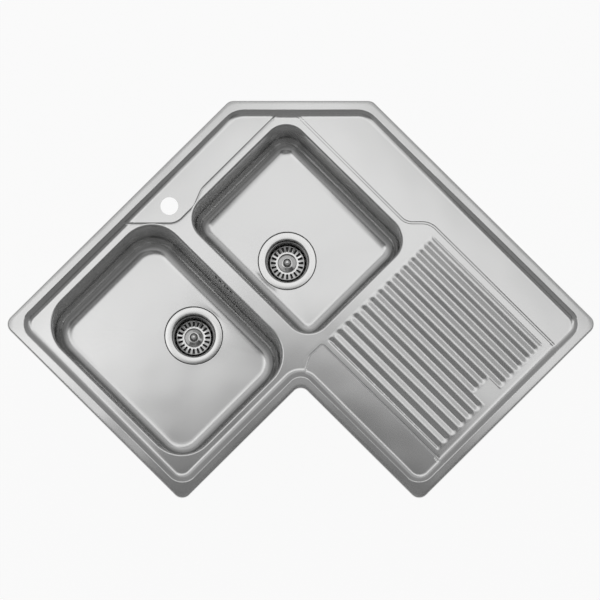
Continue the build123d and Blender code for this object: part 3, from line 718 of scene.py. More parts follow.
# ---------------------------------------------------------------- the pressed top
@dataclass
class Drainer:
    """The ribbed drainer: a shallow pan with pressed ribs that run right across it, and a bare pad.

    Attributes:
        left: The pan's edge beside the bowls.
        right: The pan's far edge.
        front: The pan's front edge.
        back: The pan's back edge.
    """

    left: float
    right: float
    front: float
    back: float
    depth: float = 1.0 * MM
    edge_run: float = 4.0 * MM
    rib_count: int = 13
    rib_offset: float = 3.0 * MM
    pad_length: float = 30.0 * MM
    pad_ribs: float = 2.0
    crest: float = 0.2 * MM
    valley_share: float = 0.06
    crest_share: float = 0.86
    rib_blend: float = 0.20 * MM
    margin: float = 2.0 * MM
    rib_gap: float = 5.5 * MM
    end_gap: float = 1.6 * MM
    row_gap: float = 1.45 * MM

    def __post_init__(self) -> None:
        """Spaces the ribs evenly over the pan."""
        self.pitch = (self.back - self.front) / self.rib_count
        self.middle_y = (self.front + self.back) / 2 + self.rib_offset

    def height(self, places: np.ndarray) -> np.ndarray:
        """Shapes the ribs and the valleys between them.

        Args:
            places: The places, one row each.

        Returns:
            The height at each place, which is 0 on the deck round the pan.
        """
        x, y = places.T
        last = self.rib_count // 2 + 0.5
        row = np.clip(np.floor((y - self.middle_y) / self.pitch) + 0.5, -last, last)
        across = np.abs(y - self.middle_y - row * self.pitch)
        beside_pad = np.abs(row) < self.pad_ribs / 2
        end = np.where(beside_pad, self.right - self.pad_length, self.right)
        reach = self.pitch / 2
        beyond = np.maximum(0, np.maximum(self.left + reach - x, x - end + reach))
        share = np.clip(np.hypot(across, beyond) / reach, 0, 1)
        crest = self.crest * np.clip(np.minimum(x - self.left, end - x) / self.edge_run, 0, 1)
        flank = (share - self.valley_share) / (self.crest_share - self.valley_share)
        ribs = -self.depth + (self.depth + crest) * flank
        ribs = higher(lower(ribs, crest, self.rib_blend), np.full(len(places), -self.depth), self.rib_blend)
        inside = np.minimum(y - self.front, self.back - y)
        pan = higher(ribs, -inside * self.depth / self.edge_run, self.rib_blend)
        return np.where(inside < 0, 0.0, np.minimum(pan, crest))

    def places(self) -> np.ndarray:
        """Lays a close grid over the pan, closest where the valleys end.

        Returns:
            The places, one row each.
        """
        low, high = self.left - self.margin, self.right + self.margin
        reach = self.pitch / 2
        ends = [(low, self.left + reach), (self.right - self.pad_length - reach, high)]
        across = grid_lines(low, high, self.rib_gap, self.end_gap, ends)
        along = grid_lines(self.front - self.margin, self.back + self.margin, self.row_gap, self.row_gap, [])
        return np.stack(np.meshgrid(across, along), axis=-1).reshape(-1, 2)


@dataclass(frozen=True)
class Ledge:
    """A raised part of the deck, with narrow pressed steps along its edge.

    Attributes:
        corners: Its sharp corners, in order.
        radii: The radius of its edge at each corner.
        steps: Where each step starts and ends, inside the edge.
        groove: The depth of the groove pressed along the foot of its first step.
        rise: The height of all its steps together.
        groove_width: The width of that groove.
    """

    corners: tuple[Point, ...]
    radii: tuple[float, ...]
    steps: tuple[Point, ...]
    groove: float
    rise: float = 1.2 * MM
    groove_width: float = 2.4 * MM
    margin: float = 0.35 * MM
    gap: float = 4.0 * MM
    arc: int = 14
    step_rows: int = 8
    groove_rows: int = 6

    def ring(self, inset: float, gap: float) -> np.ndarray:
        """Draws the plan of the ledge at a distance inside its edge.

        Args:
            inset: The distance inside the edge.
            gap: How far the points are apart.

        Returns:
            The points, which are in line at every inset.
        """
        lengths = np.linalg.norm(np.roll(self.corners, -1, axis=0) - np.array(self.corners), axis=1)
        sides = [max(1, round(length / gap)) for length in lengths]
        corners, radii = moved_in(self.corners, self.radii, inset)
        return closed_ring(corners, radii, sides, self.arc)

    def height(self, places: np.ndarray) -> np.ndarray:
        """Shapes the ledge.

        Args:
            places: The places, one row each.

        Returns:
            How far the ledge lifts the deck at each place.
        """
        inside = inside_distance(places, self.ring(0.0, 1.0))
        height = np.zeros(len(places))
        for start, end in self.steps:
            share = np.clip((inside - start) / (end - start), 0, 1)
            height += self.rise / len(self.steps) * share * share * (3 - 2 * share)
        across = np.clip(np.abs(inside / self.groove_width + 0.5) * 2, 0, 1)
        return height - self.groove * (1 - across * across) ** 2

    def places(self) -> np.ndarray:
        """Lays rows of places along the steps and the groove.

        Returns:
            The places, one row each.
        """
        spans = [(start, end + self.margin, self.step_rows) for start, end in self.steps]
        spans.append((-self.groove_width - self.margin, -self.margin, self.groove_rows))
        return np.concatenate([self.ring(inset, self.gap) for span in spans for inset in np.linspace(*span)])


@dataclass
class PressedTop:
    """The pressed sheet: rolled lip, flat rim, slope, raised ledges, drainer, bowl openings and tap hole.

    Attributes:
        half: Half the side of the square that the outline fits in.
        rim_top: The height of the flat rim.
        bowls: The bowls that hang from it.
    """

    half: float
    rim_top: float
    bowls: dict[str, "Bowl"]
    sheet: float = 1.0 * MM
    wing: float = 500.0 * MM
    corner_cut: float = 200.0 * MM
    outline_r: float = 20.0 * MM
    inner_r: float = 18.0 * MM
    roll_r: float = 4.0 * MM
    lip_gap: float = 0.5 * MM
    rim_flat: float = 18.5 * MM
    slope_run: float = 12.5 * MM
    foot_bend: float = 3.0 * MM
    slope_corner_r: float = 21.0 * MM
    slope_inner_r: float = 39.0 * MM
    slope_cut_r: float = 38.0 * MM
    strip_end: float = 17.5 * MM
    slope_end: float = 40.0 * MM
    bend: float = 0.55 * MM
    ledge_blend_r: float = 35.0 * MM
    single_step: tuple[Point, ...] = ((0.0, 1.8 * MM),)
    double_step: tuple[Point, ...] = ((0.0, 1.2 * MM), (4.6 * MM, 5.8 * MM))
    groove: float = 0.35 * MM
    tap_ledge_width: float = 85.5 * MM
    back_ledge_width: float = 128.0 * MM
    drainer_ledge_width: float = 94.0 * MM
    ledge_turn: float = 30.0 * MM
    front_ledge_width: float = 87.5 * MM
    front_ledge_overlap: float = 27.5 * MM
    front_ledge_r: float = 7.0 * MM
    tap_inset: float = 65.0 * MM
    tap_set_back: float = 33.0 * MM
    tap_r: float = 17.5 * MM
    tap_ledge_r: float = 34.5 * MM
    side_gap: float = 6.0 * MM
    deck_gap: float = 14.0 * MM
    row_gap: float = 5.0 * MM
    arc: int = 14
    overreach: float = 1.2
    roll_steps: int = 9
    flat_rows: tuple[float, ...] = (8.0 * MM, 13.0 * MM)
    slope_rows: tuple[tuple, ...] = ((18.0 * MM, 20.4 * MM, 7), (21.5 * MM, 25.5 * MM, 4), (26.5 * MM, 40.0 * MM, 12))
    tap_points: int = 96
    cut_margin: float = 0.3 * MM
    drainer_margins: tuple[float, ...] = (22.0 * MM, 44.0 * MM, 100.0 * MM, 106.0 * MM)
    ledges: list[Ledge] = field(default_factory=list)
    drainer: Drainer | None = None

    def __post_init__(self) -> None:
        """Works out the ledges and the drainer from the outline and the bowls."""
        self.wing_edge = self.wing - self.half
        bowl_right = self.bowls["main"].right
        self.tap = (-self.half + self.tap_inset, self.bowls["main"].back + self.tap_set_back)
        left, right, front, back = self.drainer_margins
        self.drainer = Drainer(
            left=bowl_right + left, right=self.half - right, front=-self.wing_edge + front, back=self.half - back
        )
        far = self.half * self.overreach
        wide = self.outline_r
        tap_x, tap_y = self.tap
        r = self.tap_ledge_r
        tangent = tap_y - tap_x - r * sqrt(2)
        tap_edge = -self.half + self.tap_ledge_width
        tap_ledge = (
            ((tap_edge, far), wide),
            ((tap_edge, tap_y + 2 * r), r),
            ((tap_x + r, tap_y + r), r),
            ((tap_x + r, tap_x + r + tangent), r),
            ((-far, -far + tangent), wide),
            ((-far, far), wide),
        )
        back_edge = self.half - self.back_ledge_width
        drainer_edge = self.half - self.drainer_ledge_width
        turn = bowl_right - self.ledge_turn
        back_ledge = (
            ((-far, back_edge), wide),
            ((turn, back_edge), self.ledge_blend_r),
            ((turn + drainer_edge - back_edge, drainer_edge), self.ledge_blend_r),
            ((far, drainer_edge), wide),
            ((far, far), wide),
            ((-far, far), wide),
        )
        front_x = self.wing_edge - self.front_ledge_overlap
        front_y = -self.wing_edge + self.front_ledge_width
        front_ledge = (
            ((front_x, front_y), self.front_ledge_r),
            ((front_x, front_y - self.ledge_blend_r), self.ledge_blend_r / 2),
            ((self.wing_edge, -self.wing_edge), self.ledge_blend_r / 2),
            ((far, -self.wing_edge - far), wide),
            ((far, front_y), wide),
        )
        for plan, steps, groove in (
            (tap_ledge, self.single_step, self.groove),
            (back_ledge, self.double_step, 0.0),
            (front_ledge, self.single_step, self.groove),
        ):
            corners, radii = zip(*plan)
            self.ledges.append(Ledge(corners, radii, steps, groove))

    def ring(self, inset: float) -> np.ndarray:
        """The plan of the top at a distance inside its outline.

        Args:
            inset: The distance inside the outline.

        Returns:
            The points, with the same count at every inset.
        """
        low, high = -self.half + inset, self.half - inset
        inner = self.wing_edge - inset
        side, end = 2 * self.half - self.corner_cut, 2 * self.half - self.wing
        cut = side - inset * sqrt(2)
        corners = [
            (low, low + cut),
            (high - cut, high),
            (high, high),
            (high, -inner),
            (inner, -inner),
            (inner, low),
            (low, low),
        ]
        run = self.slope_run
        beyond = self.slope_end - self.rim_flat - run
        stops = (0, self.roll_r, self.rim_flat, self.rim_flat + run, self.slope_end)
        kinds = (
            (self.outline_r, -self.roll_r, self.slope_corner_r, 1),
            (self.inner_r, self.roll_r, self.slope_inner_r, -1),
            (self.outline_r, 0.0, self.slope_cut_r, 1),
        )
        corner, hollow, blunt = (
            float(np.interp(inset, stops, (edge, edge + rolled, *(foot + way * step for step in (run, 0, -beyond)))))
            for edge, rolled, foot, way in kinds
        )
        radii = [blunt, blunt, corner, corner, hollow, corner, corner]
        lengths = (self.corner_cut * sqrt(2), side, self.wing, end, end, self.wing, side)
        sides = [max(1, round(length / self.side_gap)) for length in lengths]
        return closed_ring(corners, radii, sides, self.arc)

    def levels(self, places: np.ndarray) -> np.ndarray:
        """Shapes the sheet inside the flat rim: slope, deck, ledges and drainer.

        Args:
            places: The places, one row each.

        Returns:
            The height at each place.
        """
        inset = self.rim_flat + inside_distance(places, self.ring(self.rim_flat))
        fall = self.rim_top * (1 - (inset - self.rim_flat) / self.slope_run)
        rim = lower(fall, np.full(len(places), self.rim_top), self.bend)
        lifts = np.array([ledge.height(places) for ledge in self.ledges])
        ledges = np.max(lifts, axis=0) + np.min(np.minimum(lifts, 0), axis=0)
        return higher(rim, ledges + self.drainer.height(places), self.foot_bend)

    def strip(self) -> bpy.types.Object:
        """Builds the rim: the turned-down lip, the roll and the flat.

        Returns:
            The new piece.
        """
        profile = [(0.0, self.lip_gap), (0.0, (self.rim_top - self.roll_r) / 2)]
        profile += [
            (self.roll_r * (1 - cos(turn)), self.rim_top - self.roll_r * (1 - sin(turn)))
            for turn in np.linspace(0, pi / 2, self.roll_steps)
        ]
        profile += [(inset, self.rim_top) for inset in (*self.flat_rows, self.strip_end)]
        return press("top_rim", skin([at_height(self.ring(inset), z) for inset, z in profile]), self.sheet)

    def places(self) -> np.ndarray:
        """Picks where the sheet inside the flat rim is measured: close rows where it bends, else a wide grid.

        Returns:
            The places, one row each.
        """
        rows = [self.ring(float(inset)) for span in self.slope_rows for inset in np.linspace(*span)]
        rows += [ledge.places() for ledge in self.ledges]
        rows.append(self.drainer.places())
        lines = np.arange(-self.half, self.half, self.deck_gap)
        flat = np.stack(np.meshgrid(lines, lines), axis=-1).reshape(-1, 2)
        flat = flat[inside_distance(flat, self.ring(self.slope_end)) > self.row_gap]
        for ledge in self.ledges:
            inside = inside_distance(flat, ledge.ring(0.0, 1.0))
            flat = flat[(inside < -self.row_gap) | (inside > ledge.steps[-1][1] + self.row_gap)]
        rows.append(flat)
        return np.concatenate(rows)

    def panel(self) -> bpy.types.Object:
        """Builds everything inside the flat rim, with the openings for the bowls and the tap.

        Returns:
            The new piece.
        """
        turns = np.linspace(0, 2 * pi, self.tap_points, endpoint=False)
        tap = np.array(self.tap) + self.tap_r * np.column_stack([np.cos(turns), np.sin(turns)])
        openings = [tap, *(bowl.plan(-bowl.lip) for bowl in self.bowls.values())]
        outline = self.ring(self.strip_end)
        places = self.places()
        places = places[inside_distance(places, outline) > self.cut_margin]
        for opening in openings:
            places = places[inside_distance(places, opening) < -self.cut_margin]
        edges = []
        for loop in (outline, *openings):
            first = len(edges)
            edges += [(first + i, first + (i + 1) % len(loop)) for i in range(len(loop))]
        given = [Vector(place) for place in np.concatenate([outline, *openings, places])]
        points, _, triangles, *_ = delaunay_2d_cdt(given, edges, [], 1, MM / 1000, False)
        points, triangles = np.array([tuple(point) for point in points]), np.array(triangles)
        centres = points[triangles].mean(axis=1)
        solid = inside_distance(centres, outline) > 0
        for opening in openings:
            solid &= inside_distance(centres, opening) < 0
        mesh = bmesh.new()
        verts = [mesh.verts.new((x, y, z)) for (x, y), z in zip(points, self.levels(points))]
        for triangle in triangles[solid]:
            mesh.faces.new([verts[corner] for corner in triangle])
        loose = [vert for vert in mesh.verts if not vert.link_faces]
        bmesh.ops.delete(mesh, geom=loose, context="VERTS")
        return press("top_deck", mesh, self.sheet)


# ---------------------------------------------------------------- bowls
@dataclass
class Bowl:
    """A pressed bowl: welding lip, rolled edge, walls, floor and the seat for its drain.

    Attributes:
        name: "main" or "back".
        corner_r: The corner radius at the deck.
    """

    name: str
    corner_r: float
    lip: float = 6.0 * MM
    sheet: float = 1.0 * MM
    roll_r: float = 5.0 * MM
    draft: float = 4.0 * MM
    floor_r: float = 35.0 * MM
    depth: float = 160.0 * MM
    seat_depth: float = 3.0 * MM
    seat_gap: float = 1.0 * MM
    hole_r: float = 45.0 * MM
    floor_fall: float = 0.8 * MM
    mouth_r: float = 1.5 * MM
    side_gap: float = 9.0 * MM
    arc: int = 16
    roll_rings: int = 9
    bend_rings: int = 17
    wall_shares: tuple[float, float, int] = (0.1, 1, 8)
    floor_shares: tuple[float, ...] = (0.04, 0.12, 0.25, 0.4, 0.55, 0.7, 0.82, 0.92, 1.0)

    def __post_init__(self) -> None:
        """Reads the bowl's plan and its drain from the frame."""
        low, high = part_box(f"{self.name}_bowl")
        self.x, self.y = (low.x + high.x) / 2, (low.y + high.y) / 2
        self.length = high.x - low.x - 2 * self.lip
        self.width = high.y - low.y - 2 * self.lip
        self.right = self.x + self.length / 2
        self.back = self.y + self.width / 2
        drain_low, drain_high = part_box(f"{self.name}_strainer")
        self.drain = ((drain_low.x + drain_high.x) / 2, (drain_low.y + drain_high.y) / 2)
        self.seat_r = (drain_high.x - drain_low.x) / 2 + self.seat_gap

    def plan(self, inset: float) -> np.ndarray:
        """Draws the bowl's plan at a distance inside its opening.

        Args:
            inset: The distance, which is negative outside the opening.

        Returns:
            The points, with the same count at every inset.
        """
        corners = box_corners(self.x, self.y, self.length / 2 - inset, self.width / 2 - inset)
        sides = [round(side / self.side_gap) for side in (self.length, self.width) * 2]
        return closed_ring(corners, [self.corner_r - inset] * 4, sides, self.arc)

    def level_ring(self, inset: float, z: float) -> np.ndarray:
        """A ring of the bowl's plan at one height."""
        return at_height(self.plan(inset), z)

    def rings(self) -> list[np.ndarray]:
        """Draws the bowl ring by ring, from its lip to the hole for the drain.

        Returns:
            The rings, which all have the same count of points.
        """
        roll = [
            self.level_ring(self.roll_r * (sin(turn) - 1), self.roll_r * (cos(turn) - 1))
            for turn in np.linspace(0, pi / 2, self.roll_rings)
        ]
        depth = self.depth - self.floor_r
        wall = [
            self.level_ring(self.draft * share * depth / self.depth, -self.roll_r - share * (depth - self.roll_r))
            for share in np.linspace(*self.wall_shares)
        ]
        wall_inset = self.draft * depth / self.depth
        bend = [
            self.level_ring(wall_inset + self.floor_r * (1 - cos(turn)), -depth - self.floor_r * sin(turn))
            for turn in np.linspace(0, pi / 2, self.bend_rings)[1:]
        ]
        edge = bend[-1][:, :2]
        drain = np.array(self.drain)
        spokes = edge - drain
        spokes /= np.linalg.norm(spokes, axis=1)[:, None]
        mouth = self.seat_r + self.mouth_r
        rim = drain + spokes * mouth
        floor = [
            at_height(edge * (1 - share) + rim * share, -self.depth - self.floor_fall * share)
            for share in self.floor_shares
        ]
        seat_level = -self.depth - self.seat_depth
        profile = open_line(
            [
                (mouth, -self.depth - self.floor_fall, 0),
                (self.seat_r, -self.depth - self.floor_fall, self.mouth_r * 0.7),
                (self.seat_r - 0.4 * MM, seat_level, 0.8 * MM),
                (self.hole_r, seat_level, 0),
            ]
        )
        seat = [at_height(drain + spokes * radius, z) for radius, z in profile[1:]]
        return [self.level_ring(-self.lip, 0), *roll, *wall, *bend, *floor, *seat]

    def shell(self) -> bpy.types.Object:
        """Builds the bowl as a sheet of its real thickness."""
        return press(f"{self.name}_bowl_shell", skin(self.rings()), self.sheet)


@dataclass
class Overflow:
    """The row of overflow slots in the main bowl's back wall, on both sides of its screw."""

    bowl: Bowl
    drop: float = 17.0 * MM
    slot_width: float = 6.0 * MM
    slot_height: float = 20.0 * MM
    pitch: float = 10.5 * MM
    steps: tuple[int, ...] = (-1, -2, 1, 2)
    round_share: float = 0.98
    reach: float = 8 * MM

    def cut(self, shell: bpy.types.Object) -> None:
        """Cuts the slots through the wall of the bowl.

        Args:
            shell: The bowl's mesh.
        """
        half_x, half_z = self.slot_width / 2, self.slot_height / 2
        for step in self.steps:
            corners = box_corners(self.bowl.x + step * self.pitch, -self.drop, half_x, half_z)
            plan = closed_ring(corners, [half_x * self.round_share] * 4, [1] * 4, 6)
            cutter = prism(plan, -self.reach, self.reach)
            bmesh.ops.rotate(cutter, verts=cutter.verts, matrix=Matrix.Rotation(pi / 2, 3, "X"))
            bmesh.ops.translate(cutter, verts=cutter.verts, vec=(0, self.bowl.back, 0))
            carve(shell, make_piece("slot_cutter", cutter))


# ---------------------------------------------------------------- strainers and baskets
# Share of the knob's radius, drop below its top and radius of the bend, both in millimetres.
KNOB_DOME = ((0.0, 0.0, 0.0), (0.3, 0.0, 3.0), (0.75, 1.4, 3.0), (1.0, 4.4, 1.2), (0.86, 7.6, 1.4))


@dataclass
class Waste:
    """The parts in one drain: strainer, basket and knob, all turned about one upright axis.

    Attributes:
        name: "main" or "back".
        centre: The place of the axis.
    """

    name: str
    centre: Point
    wall: float = 1.2 * MM
    throat_r: float = 42.3 * MM
    shelf_width: float = 2.4 * MM
    shelf_bend_r: float = 0.6 * MM
    bend_r: float = 2.5 * MM
    outlet_r: float = 19.0 * MM
    thread_r: float = 23.9 * MM
    thread_pitch: float = 1.9 * MM
    thread_depth: float = 0.9 * MM
    tail_length: float = 21.0 * MM
    tail_wall: float = 2.0 * MM
    basket_wall: float = 0.8 * MM
    basket_gap: float = 0.8 * MM
    basket_rim: float = 2.8 * MM
    basket_knee_r: float = 34.0 * MM
    basket_knee_rise: float = 2.6 * MM
    cone_power: float = 1.5
    basket_floor_r: float = 21.0 * MM
    dome_r: float = 19.0 * MM
    dome_rise: float = 3.0 * MM
    slot_count: int = 20
    slot_segments: int = 8
    slot_span: Point = (0.25, 0.75)
    hub_r: float = 4.0 * MM
    knob_segments: int = 64
    stem_r: float = 3.6 * MM
    waist: float = 9.0 * MM

    def __post_init__(self) -> None:
        """Reads the levels of the strainer and basket from the frame."""
        low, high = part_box(f"{self.name}_strainer")
        self.flange_top = high.z
        self.flange_r = (high.x - low.x) / 2
        self.outlet_end = low.z
        basket_low, basket_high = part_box(f"{self.name}_basket")
        self.shelf = basket_high.z - self.basket_wall
        self.basket_bottom = basket_low.z
        nut_low, nut_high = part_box(f"{self.name}_knob")
        self.knob_top = nut_high.z
        self.knob_r = (nut_high.x - nut_low.x) / 2
        self.stem_end = nut_low.z

    def strainer(self) -> bpy.types.Object:
        """Builds the flange and cup with a rolled outer edge and a threaded outlet.

        Returns:
            The new piece.
        """
        floor = self.outlet_end + self.tail_length + self.wall
        lower_r = self.throat_r - self.shelf_width
        top, w = self.flange_top, self.wall
        inside = open_line(
            [
                (self.flange_r, top - w, 0),
                (self.flange_r, top, 0.9 * MM),
                (self.throat_r, top, self.bend_r),
                (self.throat_r, self.shelf, self.shelf_bend_r),
                (lower_r, self.shelf, self.bend_r / 2),
                (lower_r, floor, self.bend_r),
                (self.outlet_r, floor, 1.0 * MM),
                (self.outlet_r, floor - w, 0),
            ],
            steps=6,
        )
        turns = int((floor - w - self.outlet_end) / self.thread_pitch)
        thread = [
            (self.thread_r - (self.thread_depth if step % 2 else 0), floor - w - (step + 1) * self.thread_pitch / 2)
            for step in range(2 * turns)
        ]
        tail_r, root_r = self.thread_r - self.tail_wall, self.thread_r - self.thread_depth
        outside = [
            (tail_r, floor - w),
            (tail_r, self.outlet_end),
            (root_r, self.outlet_end),
            *reversed(thread),
            (root_r, floor - w),
            (lower_r + w, floor - w),
            (lower_r + w, self.shelf - w),
            (self.throat_r + w, self.shelf - w),
            (self.throat_r + w, top - w),
            (self.flange_r, top - w),
        ]
        return make_piece(f"{self.name}_strainer_cup", turned([*inside, *outside], self.centre), crease=40.0)

    def basket(self) -> bpy.types.Object:
        """Builds the basket: a beaded rim, a steep wall, a slotted cone and a low dome round the stem.

        Returns:
            The new piece.
        """
        rim_r = self.throat_r - self.basket_gap
        wall_r = rim_r - self.basket_rim
        top = self.shelf + self.basket_wall
        floor = self.basket_bottom + self.basket_wall
        knee = floor + self.basket_knee_rise
        before = open_line(
            [
                (rim_r, top - 0.5 * MM, 0),
                (rim_r - 0.3 * MM, top, 0.25 * MM),
                (wall_r + 0.9 * MM, top, 0.9 * MM),
                (wall_r - 0.4 * MM, top - 2.6 * MM, 1.5 * MM),
                (self.basket_knee_r + 0.4 * MM, knee + 0.9 * MM, 0),
            ]
        )
        radii = np.linspace(self.basket_knee_r - 0.2 * MM, self.basket_floor_r, 9)
        share = (radii - self.basket_floor_r) / (self.basket_knee_r - self.basket_floor_r)
        heights = floor + (knee - floor) * share**self.cone_power
        cone = list(zip(radii.tolist(), heights.tolist()))
        after = open_line(
            [
                (self.basket_floor_r - 0.6 * MM, floor, 0),
                (self.dome_r, floor, 0.5 * MM),
                (self.dome_r * 0.92, floor + 0.9 * MM, 0.9 * MM),
                (self.dome_r * 0.55, floor + self.dome_rise, 7.0 * MM),
                (self.hub_r, floor + self.dome_rise, 0),
            ]
        )
        slot_out, slot_in = radii[1] + MM / 10, radii[-2] - MM / 10
        mesh = turned([*before, *cone, *after], self.centre, self.slot_count * self.slot_segments)
        sector = 2 * pi / self.slot_count
        holes = []
        for face in mesh.faces:
            spoke = face.calc_center_median() - Vector((*self.centre, 0))
            turn = (atan2(spoke.y, spoke.x) / sector) % 1
            if slot_in < spoke.xy.length < slot_out and self.slot_span[0] < turn < self.slot_span[1]:
                holes.append(face)
        bmesh.ops.delete(mesh, geom=holes, context="FACES")
        return press(f"{self.name}_basket_sheet", mesh, self.basket_wall, edge=0.2 * MM)

    def knob(self) -> bpy.types.Object:
        """Builds the stem and its domed knob, with a waist under the dome.

        Returns:
            The new piece.
        """
        top = self.knob_top
        profile = [(share * self.knob_r, top - drop * MM, bend * MM) for share, drop, bend in KNOB_DOME]
        profile += [
            (self.stem_r, top - self.waist, 0.6 * MM),
            (self.stem_r, self.stem_end, 0),
            (0, self.stem_end, 0),
        ]
        mesh = turned(open_line(profile), self.centre, self.knob_segments)
        return make_piece(f"{self.name}_knob_turned", mesh, crease=45.0)


# ---------------------------------------------------------------- the studio
# Position on the ramp and level of each stop.
SKY_STOPS = ((0.0, 0.60), (0.04, 0.28), (0.10, 0.13), (0.55, 0.15), (0.84, 0.34), (1.0, 0.45))
BOX_STOPS = ((0.0, 0.24), (0.1, 0.17), (0.19, 0.06), (0.3, 0.24), (0.42, 0.58), (0.52, 0.98), (1.0, 1.1))


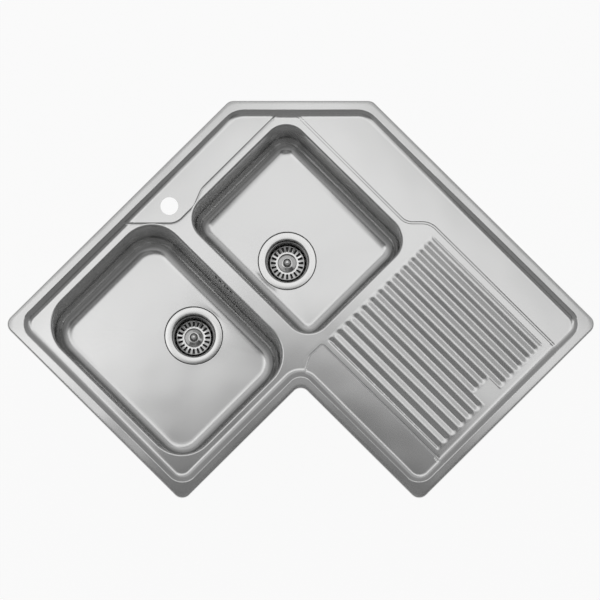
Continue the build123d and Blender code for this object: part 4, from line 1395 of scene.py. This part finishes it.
@dataclass
class Studio:
    """The floor, the soft box, the surroundings and the camera.

    Attributes:
        centre: The place that the camera looks at.
        sky_way: The way in which the sky gets brighter.
        sky_range: Its strength on the far side and on the near side of that way.
        box_shift: How far the soft box's row of levels is moved.
        box_left: Where its light starts on the left, and the level there.
        box_right: Where it ends on the right, and the level there.
        box_inner: Where it starts to fade towards its corners, and the level there.
        box_outer: Where the fading ends, and the level there.
    """

    centre: tuple[float, float, float] = (-0.034567, 0.032604, 0.007)
    azimuth: float = 45.0
    elevation: float = 82.5
    distance: float = 23.677
    focal_px: float = 12000.0
    frame_px: float = 600.0
    sensor: float = 36.0
    clip: Point = (0.1, 200.0)
    floor_gap: float = 0.5 * MM
    floor_size: float = 60.0
    floor_grey: float = 0.9
    floor_roughness: float = 0.9
    floor_white: float = 0.93
    sky_way: tuple[float, float, float] = (-0.85, 0.45, 0.0)
    sky_range: Point = (0.8, 2.2)
    box_size: float = 1.8
    box_height: float = 1.5
    box_glow: float = 1.02
    box_shift: float = 0.40
    box_left: Point = (-0.75, 1.45)
    box_right: Point = (-0.2, 1.0)
    box_inner: Point = (0.74, 1.0)
    box_outer: Point = (0.96, 0.34)
    shade_spread: float = 0.55

    def camera(self) -> None:
        """Places the camera at the photograph's viewing angle."""
        data = bpy.data.cameras.new("camera")
        data.sensor_width = self.sensor
        data.lens = self.focal_px / self.frame_px * self.sensor
        data.clip_start, data.clip_end = self.clip
        camera = bpy.data.objects.new("camera", data)
        turn, tilt = radians(self.azimuth), radians(self.elevation)
        away = Vector((sin(turn) * cos(tilt), -cos(turn) * cos(tilt), sin(tilt)))
        camera.location = Vector(self.centre) + away * self.distance
        camera.rotation_euler = away.to_track_quat("Z", "Y").to_euler()
        bpy.context.scene.collection.objects.link(camera)
        bpy.context.scene.camera = camera

    def surroundings(self) -> None:
        """Lights the room with a soft sky: pale at the horizon, dark above it, and brighter on the left."""
        world = bpy.data.worlds.new("studio")
        bpy.context.scene.world = world
        world.use_nodes = True
        tree = world.node_tree
        place = add_node(tree, "TexCoord").outputs["Generated"]
        height = add_node(tree, "SeparateXYZ", {"Vector": place}).outputs["Z"]
        towards = add_node(tree, "VectorMath", {0: place, 1: self.sky_way}, operation="DOT_PRODUCT").outputs["Value"]
        low, high = self.sky_range
        strength = ranged(tree, towards, (-1.0, low), (1.0, high))
        sky = {"Color": grey_ramp(tree, height, SKY_STOPS), "Strength": strength}
        fill_inputs(tree, tree.nodes["Background"], sky)

    def square(self, name: str, size: float, height: float) -> bpy.types.Object:
        """Lays a level square about the upright axis.

        Args:
            name: The piece's name.
            size: The length of its side.
            height: Its height.

        Returns:
            The new piece.
        """
        mesh = bmesh.new()
        bmesh.ops.create_grid(mesh, x_segments=1, y_segments=1, size=size / 2)
        bmesh.ops.translate(mesh, verts=mesh.verts, vec=(0, 0, height))
        return make_piece(name, mesh)

    def floor(self) -> None:
        """Lays a white floor under the lowest pipe."""
        floor = self.square("floor", self.floor_size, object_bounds()[0][2] - self.floor_gap)
        made, tree, matt = new_material("floor_white")
        fill_inputs(tree, matt, {"Base Color": (*(self.floor_grey,) * 3, 1), "Roughness": self.floor_roughness})
        glow = add_node(tree, "Emission", {"Color": (1, 1, 1, 1)})
        path = add_node(tree, "LightPath").outputs
        mirrored = computed(tree, "MAXIMUM", path["Is Glossy Ray"], path["Is Transmission Ray"])
        seen = computed(tree, "MAXIMUM", path["Is Camera Ray"], mirrored)
        share = computed(tree, "MULTIPLY", seen, self.floor_white)
        mix = add_node(tree, "MixShader", {"Fac": share, 1: matt.outputs["BSDF"], 2: glow.outputs["Emission"]})
        fill_inputs(tree, tree.nodes["Material Output"], {"Surface": mix.outputs["Shader"]})
        floor.data.materials.append(made)
        floor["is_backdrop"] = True

    def soft_box(self) -> None:
        """Hangs one wide soft box level over the sink, bright on the left and dark towards the front."""
        box = self.square("soft_box", self.box_size, 0)
        box.location = (0, 0, self.box_height)
        box.rotation_euler = (0, 0, radians(self.azimuth))
        box.visible_camera = False
        made, tree, unused = new_material("soft_box_glow")
        tree.nodes.remove(unused)
        place = add_node(tree, "TexCoord").outputs["Object"]
        split = add_node(tree, "SeparateXYZ", {"Vector": place}).outputs
        across, along = split["X"], split["Y"]
        shifted = computed(tree, "SUBTRACT", along, self.box_height / tan(radians(self.elevation)))
        width = computed(tree, "ABSOLUTE", across)
        front = computed(tree, "MULTIPLY_ADD", width, self.shade_spread, shifted)
        rows = grey_ramp(tree, computed(tree, "ADD", front, self.box_shift), BOX_STOPS)
        left = ranged(tree, across, self.box_left, self.box_right, "SMOOTHSTEP")
        beyond = computed(tree, "ADD", width, computed(tree, "ABSOLUTE", along))
        fade = ranged(tree, beyond, self.box_inner, self.box_outer, "SMOOTHSTEP")
        level = computed(tree, "MULTIPLY", computed(tree, "MULTIPLY", rows, left), fade)
        glow = add_node(tree, "Emission", {"Strength": computed(tree, "MULTIPLY", level, self.box_glow)})
        fill_inputs(tree, tree.nodes["Material Output"], {"Surface": glow.outputs["Emission"]})
        box.data.materials.append(made)
        box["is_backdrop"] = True


CORNER_RADII = {"main": 67.0 * MM, "back": 45.0 * MM}


def main() -> None:
    """Builds the sink's visible pieces in order and sets up the studio."""
    logging.basicConfig(level=logging.INFO, format="%(name)s: %(message)s")
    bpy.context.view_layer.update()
    studio = Studio()
    studio.camera()
    studio.surroundings()
    studio.floor()
    studio.soft_box()
    dresser = Dresser()
    bowls = {name: Bowl(name, radius) for name, radius in CORNER_RADII.items()}
    top_low, top_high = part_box("sink_top")
    top = PressedTop(half=(top_high.x - top_low.x) / 2, rim_top=top_high.z, bowls=bowls)
    dresser.dress(top.strip(), "sink_top")
    dresser.dress(top.panel(), "sink_top")
    for name, bowl in bowls.items():
        shell = bowl.shell()
        if name == "main":
            Overflow(bowl).cut(shell)
        dresser.dress(shell, f"{name}_bowl")
        waste = Waste(name, bowl.drain)
        dresser.dress(waste.strainer(), f"{name}_strainer")
        dresser.dress(waste.basket(), f"{name}_basket")
        dresser.dress(waste.knob(), f"{name}_knob")
    made = {"sink_top", "main_bowl", "back_bowl"} | {
        f"{name}_{part}" for name in bowls for part in ("strainer", "basket", "knob")
    }
    for node in sorted(set(frame["nodes"]) - made):
        dresser.refine(node)
    bpy.context.scene.view_settings.view_transform = "Standard"


if __name__ == "__main__":
    main()
